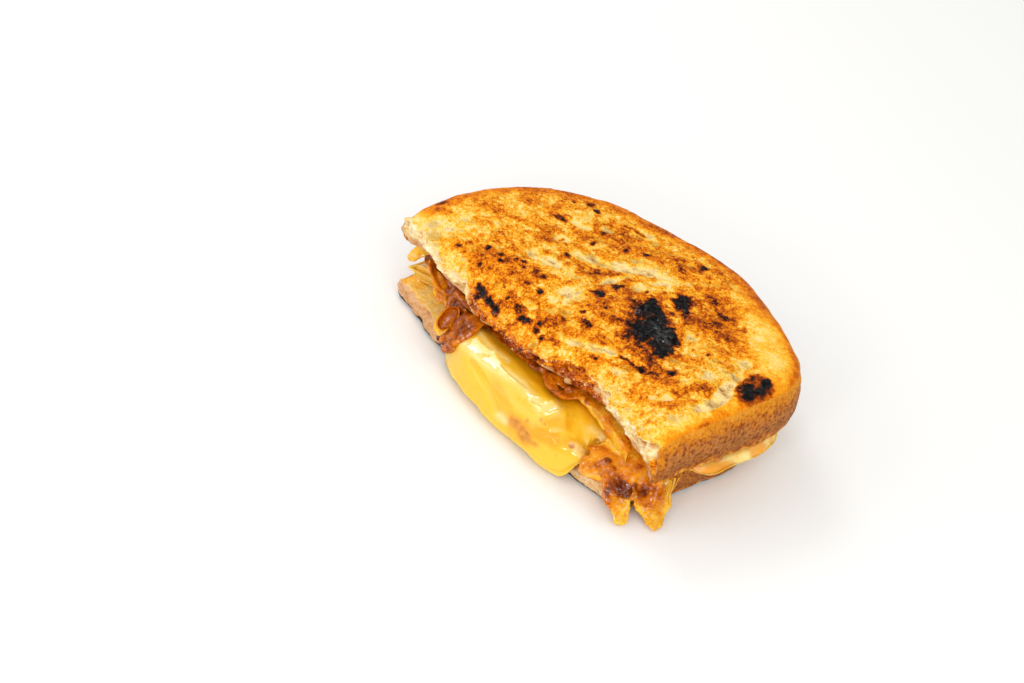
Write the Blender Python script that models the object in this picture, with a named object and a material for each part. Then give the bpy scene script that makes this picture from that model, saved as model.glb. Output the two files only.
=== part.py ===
"""Half of a grilled cheese sandwich with caramelised onions, lying on its bottom slice.

The loaf slice was cut from the top of its dome to the middle of its flat base.
+X runs along the cut from the dome crust to the base crust, +Y from the cut into
the bread, +Z up. Shapes are worked out in millimetres and made in metres.
"""

import itertools
import math

import bmesh
import bpy
import numpy as np

MM = 0.001
COLLECTION = "grilled_cheese_half"

# The layout's own zero is the middle of the upper slice's cut. This moves it so that
# the origin lies under the middle of the whole sandwich.
PLACE = np.array([-2.5, -27.0, 0.0])

# Crust of each half slice: (angle in degrees, reach in millimetres) from the middle of the cut.
# 0 is the base corner, 180 the dome corner.
UPPER_CRUST = (
    (0, 54.0), (10, 55.6), (20, 58.8), (30, 63.8), (38, 70.2), (44, 72.6), (52, 72.0), (60, 70.4),
    (68, 68.4), (76, 67.4), (84, 66.2), (92, 64.0), (100, 62.6), (110, 62.2), (122, 63.2), (134, 61.2),
    (146, 58.6), (158, 56.2), (170, 53.8), (180, 52.8),
)
LOWER_CRUST = (
    (0, 49.0), (10, 50.4), (20, 53.0), (30, 57.6), (38, 63.0), (46, 65.4), (58, 63.4), (72, 61.4),
    (88, 58.4), (104, 56.8), (120, 57.8), (136, 56.4), (150, 54.2), (165, 51.6), (180, 50.6),
)
CORNER_SOFTENING = 2.6

# Every face's rings close in on the heart. These are their steps towards it, so that
# the hidden faces of stacked layers bend alike.
HEART = np.array([0.0, 27.0])
HIDDEN_PULLS = (0.0, 0.09, 0.19, 0.32, 0.55, 1.0)
TOAST_PULLS = (1.0, 0.84, 0.68, 0.52, 0.38, 0.25, 0.13, 0.05, 0.0)

# Torn face of the upper slice: x, then the upper edge's y and z, then the lower edge's y and z.
UPPER_TEAR = np.array([
    (-56, -2.0, 26.8, -2.4, 18.2), (-49, -2.2, 26.0, 0.0, 18.0), (-42, -2.4, 25.2, 1.0, 17.6),
    (-33, -4.2, 23.8, -0.8, 17.0), (-26, -1.6, 22.8, 0.0, 16.6), (-17, -3.0, 20.4, -2.4, 16.0),
    (-6, -3.0, 20.2, -0.4, 16.0), (3, -2.4, 20.6, 0.6, 16.6), (10, -1.2, 21.6, 0.6, 16.8),
    (18, 2.8, 23.6, 3.2, 17.0), (27, 3.7, 24.2, 6.0, 17.0), (36, 0.8, 24.8, 4.2, 16.8),
    (47, 0.4, 25.4, 3.0, 15.4), (58, -0.6, 25.8, 2.0, 13.8),
])
LOWER_TEAR = ((-54, -1.8), (-41, -2.8), (-29, -4.8), (0, -5.4), (31, -5.0), (39, -3.4), (54, -1.6))

# Heights of the layers well inside the sandwich.
LOWER_TOP = 9.5
CHEESE_TOP = 13.2
UPPER_BOTTOM = 17.4
UPPER_TOP = 29.6
LAYER_GAP = 0.6
CHEESE_GAP = 0.9

# The knife squashed the layers towards the cut. The toasted face also rolls down at its torn edge.
SQUASH_REACH = 13.0
ROLL_REACH = 5.0
LOWER_SQUASH = 3.4

# The upper slice bends down over the filling at its crust: (angle, drop of its lower face).
CRUST_BEND = (
    (0, 1.0), (12, 3.2), (30, 3.9), (55, 3.9), (80, 3.0), (110, 2.4), (150, 1.8), (180, 0.6),
)
CRUST_BEND_REACH = 9.0
UPPER_TOP_BEND = 0.9
CHEESE_BEND = 2.4

CRUST_CORNER = 3.2
TORN_CORNER = 1.3
UPPER_LOW_CORNER = 1.8
LOWER_CORNER = 2.2
CRUST_BULGE = 0.9

# How far the cheese stands beyond the lower slice along the cut, as (x, distance), and at the crust.
CHEESE_LIP = (
    (-54, -8.0), (-34, -7.0), (-27, -4.5), (-24, -1.0), (-21, 2.2), (-17, 4.6), (-13, 6.0), (-7, 7.2),
    (0, 7.4), (12, 7.0), (22, 7.1), (28, 6.0), (32, 3.4), (36, -0.6), (41, -2.4), (54, -3.0),
)
CHEESE_EDGE = -1.6
CORNER_OOZE = 7.6

# How far the cheese's upper face rises or dips at the cut, as (x, height).
CHEESE_RISE = (
    (-54, -1.4), (-30, -1.0), (-21, 0.6), (0, 0.8), (24, 0.6), (32, -2.2), (38, -4.6), (54, -4.8),
)
CHEESE_RISE_REACH = 7.0

# The lip's lowest edge above the table, and its clearance from the lower slice's cut.
LIP_LOW = 1.5
HOOK_CLEARANCE = 2.5

# The onion layer's core keeps this far inside the lower slice: along the cut by x, and at the crust.
CORE_INSET = ((-54, 7.0), (-30, 5.0), (-14, 5.0), (8, 6.0), (20, 10.0), (34, 10.0), (46, 6.0), (54, 6.0))
CORE_CRUST_INSET = 7.0

# Onion strips that show, each a curled ribbon from the core outwards:
# (width, thickness, roll in degrees, curl, points of its path).
STRIPS = (
    (5.0, 1.4, 25, 0.5,
     ((-45, 12, 15.4), (-44, 6, 15.0), (-41, 1.8, 14.0), (-36, 0.4, 12.8), (-31.6, 0.8, 12.0))),
    (6.0, 1.6, 10, 0.5, ((-38, 12, 15.2), (-37, 5, 14.6), (-35, 1.0, 12.0), (-33, -0.8, 8.8))),
    (6.0, 1.6, -5, 0.6, ((-30, 11, 15.2), (-29, 4, 14.7), (-28, 0.2, 12.0), (-27, -2.4, 9.0))),
    (5.0, 1.7, 0, 0.5,
     ((-26, 9, 15.1), (-25.6, 2.6, 14.8), (-25.6, -3, 10.8), (-26, -6.8, 6.8), (-25.6, -7.2, 3.2))),
    (4.6, 1.4, 0, -1.5, ((-32, 0.2, 11.2), (-29.8, -0.8, 9.6), (-28, -3, 9.0), (-26.8, -5.8, 8.8))),
    (5.0, 1.2, 20, 0.4, ((-45, 12, 15.2), (-48, 7.6, 15.0), (-50, 3.2, 13.4), (-50.6, 0.4, 11.0))),
    (4.0, 1.2, -20, 0.4, ((-42, 13, 15.6), (-48, 10, 15.7), (-52.4, 7, 15.8), (-54.6, 4, 15.6))),
    (2.8, 1.4, 0, 0.3,
     ((3, 9, 15.2), (7, 4, 15.2), (11, 0.8, 15.3), (15, -0.8, 15.2), (18.6, 0.4, 15.1), (20, 5, 15.2))),
    (3.0, 1.5, 0, 0.2, ((-3, 10, 15.2), (0, 5, 15.2), (4, 2.4, 15.3), (8, 3.4, 15.3), (10, 8, 15.3))),
    (3.2, 1.5, 0, 0.2, ((8, 10, 15.1), (12, 5, 15.2), (17, 3.6, 15.3), (22, 6, 15.2), (24, 12, 15.2))),
    (3.0, 1.5, 0, 0.3, ((18, 14, 15.1), (21, 9, 15.2), (26, 6.4, 15.0), (32, 6.6, 14.8), (36, 11, 15.1))),
    (3.4, 1.5, 0, 0.2, ((26, 14, 15.1), (30, 9, 15.0), (34, 4.8, 14.4), (38, 4, 13.8), (42, 8, 14.4))),
    (10.0, 2.0, 0, 0.3, ((37, 13, 15.0), (37.8, 7, 14.0), (38.6, 1.6, 12.2), (39.4, -3.4, 9.8), (40, -6.4, 6.4))),
    (9.0, 2.0, 0, 0.4, ((45, 13, 14.8), (45, 8, 14.0), (45.4, 2.6, 12.7), (46.4, -2.2, 10.0), (47.4, -5.0, 5.4))),
    (6.0, 2.0, 0, 0.5, ((41, 2, 12.2), (42.6, -3.8, 9.6), (44.6, -6.2, 5.8), (47.2, -5.6, 3.2))),
    (7.0, 1.8, 0, 0.8, ((45, 7, 13.4), (49.4, 5, 12.0), (52.6, 3, 8.2), (53.0, 2, 4.6))),
    (5.6, 1.3, 0, 0.5,
     ((46, -0.4, 12.0), (49.4, -3.6, 7.6), (50.8, -4.2, 3.8), (51.8, -4.6, 1.7), (53.4, -5.0, 1.0))),
    (9.0, 1.4, 0, 0.5,
     ((46, 10, 13.8), (50.2, 9, 11.6), (52.8, 7.6, 7.0), (54.2, 5.6, 2.6), (57.2, 2.8, 1.2), (59.6, 0.8, 1.0))),
    (4.0, 1.1, 0, 0.3, ((42, 34, 15.1), (48, 34, 15.0), (52.2, 36, 13.5), (53.8, 40, 12.75))),
    (4.0, 1.1, 0, 0.3, ((42, 20, 15.1), (48, 21, 14.9), (52, 22.4, 13.5), (54.4, 25, 12.5))),
    (4.0, 1.3, 0, 0.3, ((-40, 22, 15.2), (-46, 22, 15.0), (-51, 24, 14.2))),
    (3.6, 1.3, 0, 0.3, ((-28, 42, 15.2), (-33, 47, 14.8), (-35, 52, 13.9))),
    (4.0, 1.3, 0, 0.3, ((2, 48, 15.2), (1, 54, 14.6), (-3, 59.6, 13.7))),
    (3.6, 1.2, 0, 0.3, ((28, 46, 15.2), (30, 53, 14.6), (28, 59.6, 13.2))),
)


def smooth_step(value):
    """0 below 0, 1 above 1, and an even S curve between."""
    held = np.clip(value, 0.0, 1.0)
    return held * held * (3.0 - 2.0 * held)


def corner_value(cell, seed):
    """A repeatable number from 0 to 1 for each whole-number lattice corner."""
    cell = cell.astype(np.uint64)
    mixed = cell[..., 0] * np.uint64(73856093) ^ cell[..., 1] * np.uint64(19349663)
    mixed ^= cell[..., 2] * np.uint64(83492791) ^ np.uint64(seed * 2654435761)
    mixed = (mixed ^ (mixed >> np.uint64(15))) * np.uint64(2246822519)
    mixed = (mixed ^ (mixed >> np.uint64(13))) * np.uint64(3266489917)
    return ((mixed >> np.uint64(16)) & np.uint64(65535)).astype(float) / 65535.0


def noise(points, cell_size, seed):
    """Smooth noise from -1 to 1: values at the corners of a cubic lattice, blended inside each cell."""
    scaled = points / cell_size + 1000.0
    low = np.floor(scaled)
    weight = smooth_step(scaled - low)
    total = np.zeros(points.shape[:-1])
    for corner in itertools.product((0, 1), repeat=3):
        share = np.prod(np.where(corner, weight, 1.0 - weight), axis=-1)
        total += share * corner_value(low + corner, seed)
    return 2.0 * total - 1.0


def along_knots(knots, x):
    """A smooth curve through (x, value) knots."""
    known = np.array(knots, float)
    fine = np.linspace(known[0, 0], known[-1, 0], 241)
    values = np.interp(fine, known[:, 0], known[:, 1])
    window = np.hanning(19)
    padded = np.pad(values, 9, mode="edge")
    return np.interp(x, fine, np.convolve(padded, window / window.sum(), mode="valid"))


def evenly(line, count, closed):
    """The polyline, read again at count points of equal spacing."""
    if closed:
        line = np.concatenate([line, line[:1]])
    travelled = np.concatenate([[0.0], np.cumsum(np.linalg.norm(np.diff(line, axis=0), axis=1))])
    wanted = np.linspace(0.0, travelled[-1], count, endpoint=not closed)
    return np.stack([np.interp(wanted, travelled, line[:, k]) for k in range(line.shape[1])], axis=1)


def half_slice(columns, crust_reach, tear):
    """Outline of a half slice and its outward directions, anticlockwise from the middle of the cut.

    The crust is a polar curve, (R cos a, R sin a) for a from 0 to 180 degrees, and the cut follows
    the tear. A running mean softens the corners between them.
    """
    angle = np.linspace(0.0, 180.0, 400)
    reach = along_knots(crust_reach, angle)
    crust = np.stack([np.cos(np.radians(angle)), np.sin(np.radians(angle))], axis=1) * reach[:, None]
    cut_x = np.linspace(-reach[-1], reach[0], 301)
    cut = np.stack([cut_x, along_knots(tear, cut_x)], axis=1)
    loop = evenly(np.concatenate([cut[150:], crust, cut[:150]]), 1200, True)
    width = round(CORNER_SOFTENING / np.linalg.norm(loop[1] - loop[0]))
    window = np.hanning(2 * width + 3)[1:-1]
    wrapped = np.concatenate([loop[-width:], loop, loop[:width]])
    loop = np.stack([np.convolve(wrapped[:, k], window / window.sum(), mode="valid") for k in (0, 1)], axis=1)
    loop = evenly(loop, columns, True)
    ahead = np.roll(loop, -1, axis=0) - np.roll(loop, 1, axis=0)
    outward = np.stack([ahead[:, 1], -ahead[:, 0]], axis=1)
    return loop, outward / np.linalg.norm(outward, axis=1, keepdims=True)


def facing_cut(outward):
    """1 where the outline is cut bread, 0 where it is crust."""
    return smooth_step((-outward[:, 1] - 0.25) / 0.5)


def inset(outline, outward, distance):
    """The outline moved in towards the heart until it stands distance inside itself."""
    inward = HEART - outline
    inward = inward / np.linalg.norm(inward, axis=1, keepdims=True)
    lean = np.maximum(-(inward * outward).sum(axis=1), 0.7)
    return outline + inward * (distance / lean)[..., None]


def squash(points):
    """1 at the cut, fading to 0 inside the sandwich."""
    return np.exp(-(np.maximum(points[..., 1], 0.0) / SQUASH_REACH) ** 2)


def crust_angle(points):
    """Angle of each point round the middle of the cut, in degrees."""
    return np.degrees(np.arctan2(np.maximum(points[..., 1], 0.0), points[..., 0]))


def crust_nearness(points):
    """1 at the crust of the upper slice, fading to 0 inside."""
    inside = along_knots(UPPER_CRUST, crust_angle(points)) - np.linalg.norm(points[..., :2], axis=-1)
    return 1.0 - smooth_step(inside / CRUST_BEND_REACH)


def lower_top(points):
    """Height of the lower slice's upper face."""
    return LOWER_TOP - LOWER_SQUASH * squash(points)


def cheese_top(points):
    """Height of the cheese's upper face."""
    near_cut = np.exp(-((np.maximum(points[..., 1] + 2.0, 0.0) / CHEESE_RISE_REACH) ** 2))
    rise = along_knots(CHEESE_RISE, points[..., 0]) * near_cut
    near = crust_nearness(points)
    return CHEESE_TOP + rise * (1.0 - near) - CHEESE_BEND * near * (1.0 - 0.7 * near_cut)


def cheese_bottom(points):
    """Height of the cheese's lower face, just clear of the lower slice."""
    return lower_top(points) + CHEESE_GAP


def upper_bottom(points):
    """Height of the upper slice's lower face."""
    edge = along_knots(UPPER_TEAR[:, (0, 4)], points[..., 0])
    bend = along_knots(CRUST_BEND, crust_angle(points)) * crust_nearness(points)
    return UPPER_BOTTOM + (edge - UPPER_BOTTOM) * squash(points) - bend


def upper_top(points):
    """Height of the upper slice's toasted face, with the low swells of a pressed slice."""
    level = np.concatenate([points, np.zeros(points.shape[:-1] + (1,))], axis=-1)
    swells = 0.45 * noise(level, 17.0, 5) + 0.3 * noise(level, 8.0, 6)
    edge = along_knots(UPPER_TEAR[:, (0, 2)], points[..., 0])
    depth = np.maximum(points[..., 1] - along_knots(UPPER_TEAR[:, (0, 1)], points[..., 0]), 0.0)
    fall = 0.5 * np.exp(-(depth / SQUASH_REACH) ** 2) + 0.5 * np.exp(-(depth / ROLL_REACH) ** 2)
    return UPPER_TOP - (UPPER_TOP - edge) * fall - UPPER_TOP_BEND * crust_nearness(points) + swells


def flat_base(points):
    """Height of the lower slice's lower face: it lies on the table."""
    return np.zeros(points.shape[:-1])


def slice_rows(top_pulls, side_rings):
    """One row per ring of a slice, from the middle of its upper face round to the middle of its lower face.

    Each row is (pull towards the heart, inset and drop as shares of the upper corner, inset and
    rise as shares of the lower corner, bulge, share of the upper face).
    """
    rows = [(pull, 1.0, 0.0, 0.0, 0.0, 0.0, 1.0) for pull in top_pulls]
    for turn in (30, 60):
        curve = math.radians(turn)
        rows.append((0.0, 1.0 - math.sin(curve), 1.0 - math.cos(curve), 0.0, 0.0, 0.0, 1.0))
    for down in np.linspace(0.0, 1.0, side_rings):
        rows.append((0.0, 0.0, 1.0 - down, 0.0, down, math.sin(math.pi * down), 1.0 - down))
    rows.append((0.0, 0.0, 0.0, 0.3, 0.3, 0.0, 0.0))
    rows += [(pull, 0.0, 0.0, 1.0, 0.0, 0.0, 0.0) for pull in HIDDEN_PULLS]
    return np.array(rows)


def slice_grid(outline, outward, rows, high, low, corner, low_corner, recede, crag, seed):
    """Ring positions of a slice.

    recede carries the lower edge of the torn face inwards, and crag roughens that face.
    """
    pull, top_in, top_down, low_in, low_up, bulge, share = (rows[:, k][:, None] for k in range(7))
    at_cut = facing_cut(outward)[None, :]
    corner = at_cut * min(corner, TORN_CORNER) + (1.0 - at_cut) * corner
    low_corner = at_cut * min(low_corner, TORN_CORNER) + (1.0 - at_cut) * low_corner
    edge = np.stack([inset(outline, outward, row) for row in top_in * corner + low_in * low_corner])
    flat = HEART + (edge - HEART) * (1.0 - pull[..., None])
    flat[..., 1] += at_cut * recede * (1.0 - share) * (1.0 - pull) ** 3
    flat += outward[None] * (bulge * CRUST_BULGE * (1.0 - 0.7 * at_cut))[..., None]
    z = share * high(flat) + (1.0 - share) * low(flat) - corner * top_down + low_corner * low_up
    grid = np.concatenate([flat, z[..., None]], axis=-1)
    on_side = (pull < 1e-6) * smooth_step((1.0 - top_in - low_in) / 0.6)
    rough = (crag * at_cut + 0.25 * (1.0 - at_cut)) * on_side
    bite = 0.6 * noise(grid, 6.0, seed) + 0.5 * noise(grid, 3.1, seed + 1)
    grid[..., :2] += outward[None] * (rough * bite)[..., None]
    return grid


def cheese_grid(columns):
    """Ring positions of the melted cheese.

    It is a thin layer whose lip hooks over the lower slice's cut and hangs down.
    """
    outline, outward = half_slice(columns, LOWER_CRUST, LOWER_TEAR)
    at_cut = facing_cut(outward)
    x, y = outline[:, 0], outline[:, 1]
    level = np.stack([x, y, 0.0 * x], axis=1)
    ooze = smooth_step((y - 10.0) / 14.0) * smooth_step((58.0 - y) / 16.0) * smooth_step((x - 34.0) / 10.0)
    ooze = CORNER_OOZE * ooze + noise(level, 9.0, 31)
    reach = at_cut * along_knots(CHEESE_LIP, x) + (1.0 - at_cut) * (CHEESE_EDGE + ooze)
    hang = smooth_step((reach - 0.6) / 3.6) * at_cut
    edge_top = cheese_top(outline)
    bed = lower_top(outline) + CHEESE_GAP
    low = LIP_LOW + 1.4 * (1.0 - hang) + 0.5 * noise(level, 11.0, 33)
    droop = (1.0 - at_cut) * smooth_step((reach - 1.5) / 4.0)
    tip = (1.0 - hang) * (0.5 * (edge_top + bed) - 1.6 * droop) + hang * (low + 2.6)
    rows = []

    def ring(offset, height):
        outer = outline + outward * offset[:, None]
        moved = np.where(offset[:, None] > 0.0, outer, inset(outline, outward, -offset))
        rows.append(np.column_stack([moved, height]))

    def inner(pull, height_of):
        edge = inset(outline, outward, 5.0 - np.minimum(reach, 0.0))
        flat = HEART + (edge - HEART) * (1.0 - pull)
        rows.append(np.column_stack([flat, height_of(flat)]))

    for pull in HIDDEN_PULLS[::-1]:
        inner(pull, cheese_top)
    start = -5.0 + np.minimum(reach, 0.0)
    shoulder = edge_top + 0.9 * hang
    for turn in (0.3, 0.6, 0.85):
        curve = (1.0 - (max(turn - 0.15, 0.0) / 0.85) ** 2.6) ** 0.5
        ring(start + (reach - start) * turn, tip + (shoulder - tip) * curve)
    ring(reach, tip)
    ring(reach - 0.5 * hang - 0.1, tip * (1.0 - 0.65 * hang) + 0.65 * hang * low)
    under = reach * 0.6 + (HOOK_CLEARANCE + 0.8) * 0.4
    ring(hang * under + (1.0 - hang) * (reach - 0.3), hang * low + (1.0 - hang) * (tip - 0.5))
    ring(hang * HOOK_CLEARANCE + (1.0 - hang) * (reach - 0.9), hang * (low + 0.5) + (1.0 - hang) * (tip - 0.8))
    ring(hang * HOOK_CLEARANCE + (1.0 - hang) * np.minimum(reach - 1.6, -0.2), bed + 0.3 * hang)
    for pull in HIDDEN_PULLS:
        inner(pull, cheese_bottom)
    return np.stack(rows)


def onion_core_grid(columns):
    """Ring positions of the onion layer's bare core, a thin pad between cheese and upper slice."""
    outline, outward = half_slice(columns, LOWER_CRUST, LOWER_TEAR)
    at_cut = facing_cut(outward)
    distance = at_cut * along_knots(CORE_INSET, outline[:, 0]) + (1.0 - at_cut) * CORE_CRUST_INSET
    edge = inset(outline, outward, distance)
    rows = []
    for pull in HIDDEN_PULLS[::-1]:
        flat = HEART + (edge - HEART) * (1.0 - pull)
        rows.append(np.column_stack([flat, upper_bottom(flat) - LAYER_GAP]))
    middle = 0.5 * (upper_bottom(edge) + cheese_top(edge))
    rows.append(np.column_stack([inset(outline, outward, distance - 1.1), middle]))
    for pull in HIDDEN_PULLS:
        flat = HEART + (edge - HEART) * (1.0 - pull)
        rows.append(np.column_stack([flat, cheese_top(flat) + CHEESE_GAP]))
    return np.stack(rows)


def strip_grid(width, thickness, roll, curl, path):
    """Ring positions of an onion strip: a flat ribbon along the path, rolled about it and curled across.

    Across the ribbon u goes from -1 to 1, and its middle line is lifted by curl u^2.
    """
    line = evenly(np.array(path, float), 61, False)
    window = np.hanning(17)
    padded = np.pad(line, ((8, 8), (0, 0)), mode="reflect", reflect_type="odd")
    line = np.stack([np.convolve(padded[:, k], window / window.sum(), mode="valid") for k in range(3)], axis=1)
    line = evenly(line, 9, False)
    ahead = np.gradient(line, axis=0)
    ahead = ahead / np.linalg.norm(ahead, axis=1, keepdims=True)
    side = np.cross(ahead, (0.0, 0.0, 1.0))
    side = side / np.linalg.norm(side, axis=1, keepdims=True)
    face = np.cross(side, ahead)
    lean = math.radians(roll) * np.sin(math.pi * np.linspace(0.0, 1.0, len(line)))[:, None]
    side, face = side * np.cos(lean) + face * np.sin(lean), face * np.cos(lean) - side * np.sin(lean)
    taper = np.array([0.3, 0.72, 0.92, 1.0, 1.0, 1.0, 0.92, 0.72, 0.3])[:, None]
    columns = 6 if width < 5.0 else 8
    turn = np.linspace(0.0, math.tau, columns, endpoint=False)[None, :]
    across = 0.5 * width * taper * np.cos(turn)
    lift = 0.5 * thickness * np.sqrt(taper) * np.sin(turn) + curl * taper * (np.cos(turn) ** 2 - 0.5)
    return line[:, None] + side[:, None] * across[..., None] + face[:, None] * lift[..., None]


def fuse(core, strips):
    """Unites the core with all the strips into one closed body."""
    pieces = bpy.data.collections.new("strips")
    bpy.context.scene.collection.children.link(pieces)
    for strip in strips:
        pieces.objects.link(strip)
    union = core.modifiers.new("union", "BOOLEAN")
    union.operation = "UNION"
    union.operand_type = "COLLECTION"
    union.collection = pieces
    bpy.context.view_layer.objects.active = core
    bpy.ops.object.modifier_apply(modifier=union.name)
    for strip in strips:
        bpy.data.objects.remove(strip, do_unlink=True)
    bpy.data.collections.remove(pieces)
    core.data.shade_smooth()


def sphere_from_grid(name, grid):
    """A UV sphere whose rings are laid on the rows of grid. Its two poles take the mean of the end rows."""
    ring_count, columns = grid.shape[:2]
    mesh = bpy.data.meshes.new(name)
    shape = bmesh.new()
    bmesh.ops.create_uvsphere(shape, u_segments=columns, v_segments=ring_count - 1, radius=1.0)
    placed = (grid + PLACE) * MM
    for vert in shape.verts:
        ring = round(math.acos(max(-1.0, min(1.0, vert.co.z))) / math.pi * (ring_count - 1))
        column = round(math.atan2(vert.co.y, vert.co.x) / math.tau * columns) % columns
        at_pole = ring in (0, ring_count - 1)
        vert.co = placed[ring].mean(axis=0) if at_pole else placed[ring, column]
    if shape.calc_volume(signed=True) < 0:
        bmesh.ops.reverse_faces(shape, faces=shape.faces)
    shape.to_mesh(mesh)
    shape.free()
    mesh.shade_smooth()
    return bpy.data.objects.new(name, mesh)


def finish(name, colour, roughness):
    """A Principled material with this base colour and roughness."""
    material = bpy.data.materials.new(name)
    material.use_nodes = True
    shader = material.node_tree.nodes["Principled BSDF"]
    shader.inputs["Base Color"].default_value = (*colour, 1.0)
    shader.inputs["Roughness"].default_value = roughness
    shader.inputs["Metallic"].default_value = 0.0
    return material


def add(collection, made, material):
    """Puts an object in the collection with its material."""
    made.data.materials.append(material)
    collection.objects.link(made)
    return made


def clear_scene():
    """Removes what the file starts with."""
    for thing in list(bpy.data.objects):
        bpy.data.objects.remove(thing, do_unlink=True)


def main():
    clear_scene()
    sandwich = bpy.data.collections.new(COLLECTION)
    bpy.context.scene.collection.children.link(sandwich)

    outline, outward = half_slice(84, UPPER_CRUST, UPPER_TEAR[:, (0, 1)])
    rows = slice_rows(TOAST_PULLS, 5)
    recede = along_knots(UPPER_TEAR[:, (0, 3)], outline[:, 0]) - along_knots(UPPER_TEAR[:, (0, 1)], outline[:, 0])
    upper = slice_grid(
        outline, outward, rows, upper_top, upper_bottom, CRUST_CORNER, UPPER_LOW_CORNER, recede, 1.0, 11
    )
    add(sandwich, sphere_from_grid("bread_top", upper), finish("toast_top", (0.72, 0.42, 0.14), 0.6))

    outline, outward = half_slice(72, LOWER_CRUST, LOWER_TEAR)
    rows = slice_rows(HIDDEN_PULLS[::-1], 4)
    lower = slice_grid(outline, outward, rows, lower_top, flat_base, LOWER_CORNER, LOWER_CORNER, 0.0, 0.4, 21)
    add(sandwich, sphere_from_grid("bread_bottom", lower), finish("toast_bottom", (0.6, 0.36, 0.14), 0.65))

    add(sandwich, sphere_from_grid("cheese", cheese_grid(80)), finish("melted_cheese", (0.95, 0.72, 0.15), 0.25))
    onions = sphere_from_grid("onions", onion_core_grid(48))
    add(sandwich, onions, finish("caramelised_onion", (0.55, 0.28, 0.07), 0.3))
    fuse(onions, [sphere_from_grid("strip", strip_grid(*strip)) for strip in STRIPS])


main()
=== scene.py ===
# %% [markdown]
# # Half of a grilled cheese sandwich
#
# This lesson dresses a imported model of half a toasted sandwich: two slices of country bread, a layer of
# melted cheese that hangs out of the torn side, and caramelised onions between cheese and bread.
# Each piece is a surface worked out with numpy. The frame gives the solids that the pieces stand for.

# %% Tools and the frame
import itertools
import math

import bpy
import numpy as np
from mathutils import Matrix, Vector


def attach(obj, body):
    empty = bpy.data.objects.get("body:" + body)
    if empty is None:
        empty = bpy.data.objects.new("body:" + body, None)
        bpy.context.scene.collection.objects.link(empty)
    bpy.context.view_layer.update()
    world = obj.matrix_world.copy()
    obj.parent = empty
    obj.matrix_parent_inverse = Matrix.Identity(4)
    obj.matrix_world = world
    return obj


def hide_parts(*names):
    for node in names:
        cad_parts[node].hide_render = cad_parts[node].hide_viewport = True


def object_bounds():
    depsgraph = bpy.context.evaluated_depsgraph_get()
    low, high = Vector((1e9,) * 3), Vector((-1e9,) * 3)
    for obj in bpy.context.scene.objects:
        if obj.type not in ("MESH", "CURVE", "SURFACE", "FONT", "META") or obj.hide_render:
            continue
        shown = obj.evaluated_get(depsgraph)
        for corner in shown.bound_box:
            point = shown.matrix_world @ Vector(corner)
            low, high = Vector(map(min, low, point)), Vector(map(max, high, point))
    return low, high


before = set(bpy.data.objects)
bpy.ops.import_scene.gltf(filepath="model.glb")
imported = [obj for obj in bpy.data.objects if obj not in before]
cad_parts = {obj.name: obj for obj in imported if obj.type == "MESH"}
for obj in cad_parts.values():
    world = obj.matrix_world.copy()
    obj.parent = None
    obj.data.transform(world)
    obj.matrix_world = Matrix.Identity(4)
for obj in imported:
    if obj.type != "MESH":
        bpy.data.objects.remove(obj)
cad_box = [list(corner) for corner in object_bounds()]
print("solids in the frame:", ", ".join(sorted(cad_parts)))
print("size in mm:", [round((high - low) * 1000, 1) for low, high in zip(*cad_box)])

# %% [markdown]
# ## The measures of the sandwich
#
# The solids were worked out from a few tables, and the fine surfaces have to follow the same ones, so
# they are repeated here. Millimetres are easier to read than metres, so everything is worked out in a
# layout whose zero is the middle of the upper slice's cut, and PLACE moves it into the frame.

# %% Driving dimensions, in millimetres
MM = 0.001
PLACE = np.array([-2.5, -27.0, 0.0])

# Crust of each half slice: (angle in degrees, reach) from the middle of the cut. 0 is the base corner.
UPPER_CRUST = (
    (0, 54.0), (10, 55.6), (20, 58.8), (30, 63.8), (38, 70.2), (44, 72.6), (52, 72.0), (60, 70.4),
    (68, 68.4), (76, 67.4), (84, 66.2), (92, 64.0), (100, 62.6), (110, 62.2), (122, 63.2), (134, 61.2),
    (146, 58.6), (158, 56.2), (170, 53.8), (180, 52.8),
)
LOWER_CRUST = (
    (0, 49.0), (10, 50.4), (20, 53.0), (30, 57.6), (38, 63.0), (46, 65.4), (58, 63.4), (72, 61.4),
    (88, 58.4), (104, 56.8), (120, 57.8), (136, 56.4), (150, 54.2), (165, 51.6), (180, 50.6),
)
# Torn face of the upper slice: x, then the upper edge's y and z, then the lower edge's y and z.
TOP_Y, TOP_Z, LOW_Y, LOW_Z = 1, 2, 3, 4
UPPER_TEAR = np.array([
    (-56, -2.0, 26.8, -2.4, 18.2), (-49, -2.2, 26.0, 0.0, 18.0), (-42, -2.4, 25.2, 1.0, 17.6),
    (-33, -4.2, 23.8, -0.8, 17.0), (-26, -1.6, 22.8, 0.0, 16.6), (-17, -3.0, 20.4, -2.4, 16.0),
    (-6, -3.0, 20.2, -0.4, 16.0), (3, -2.4, 20.6, 0.6, 16.6), (10, -1.2, 21.6, 0.6, 16.8),
    (18, 2.8, 23.6, 3.2, 17.0), (27, 3.7, 24.2, 6.0, 17.0), (36, 0.8, 24.8, 4.2, 16.8),
    (47, 0.4, 25.4, 3.0, 15.4), (58, -0.6, 25.8, 2.0, 13.8),
])
LOWER_TEAR = ((-54, -1.8), (-41, -2.8), (-29, -4.8), (0, -5.4), (31, -5.0), (39, -3.4), (54, -1.6))
CORNER_SOFTENING = 2.6
HEART = np.array([0.0, 27.0])

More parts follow.
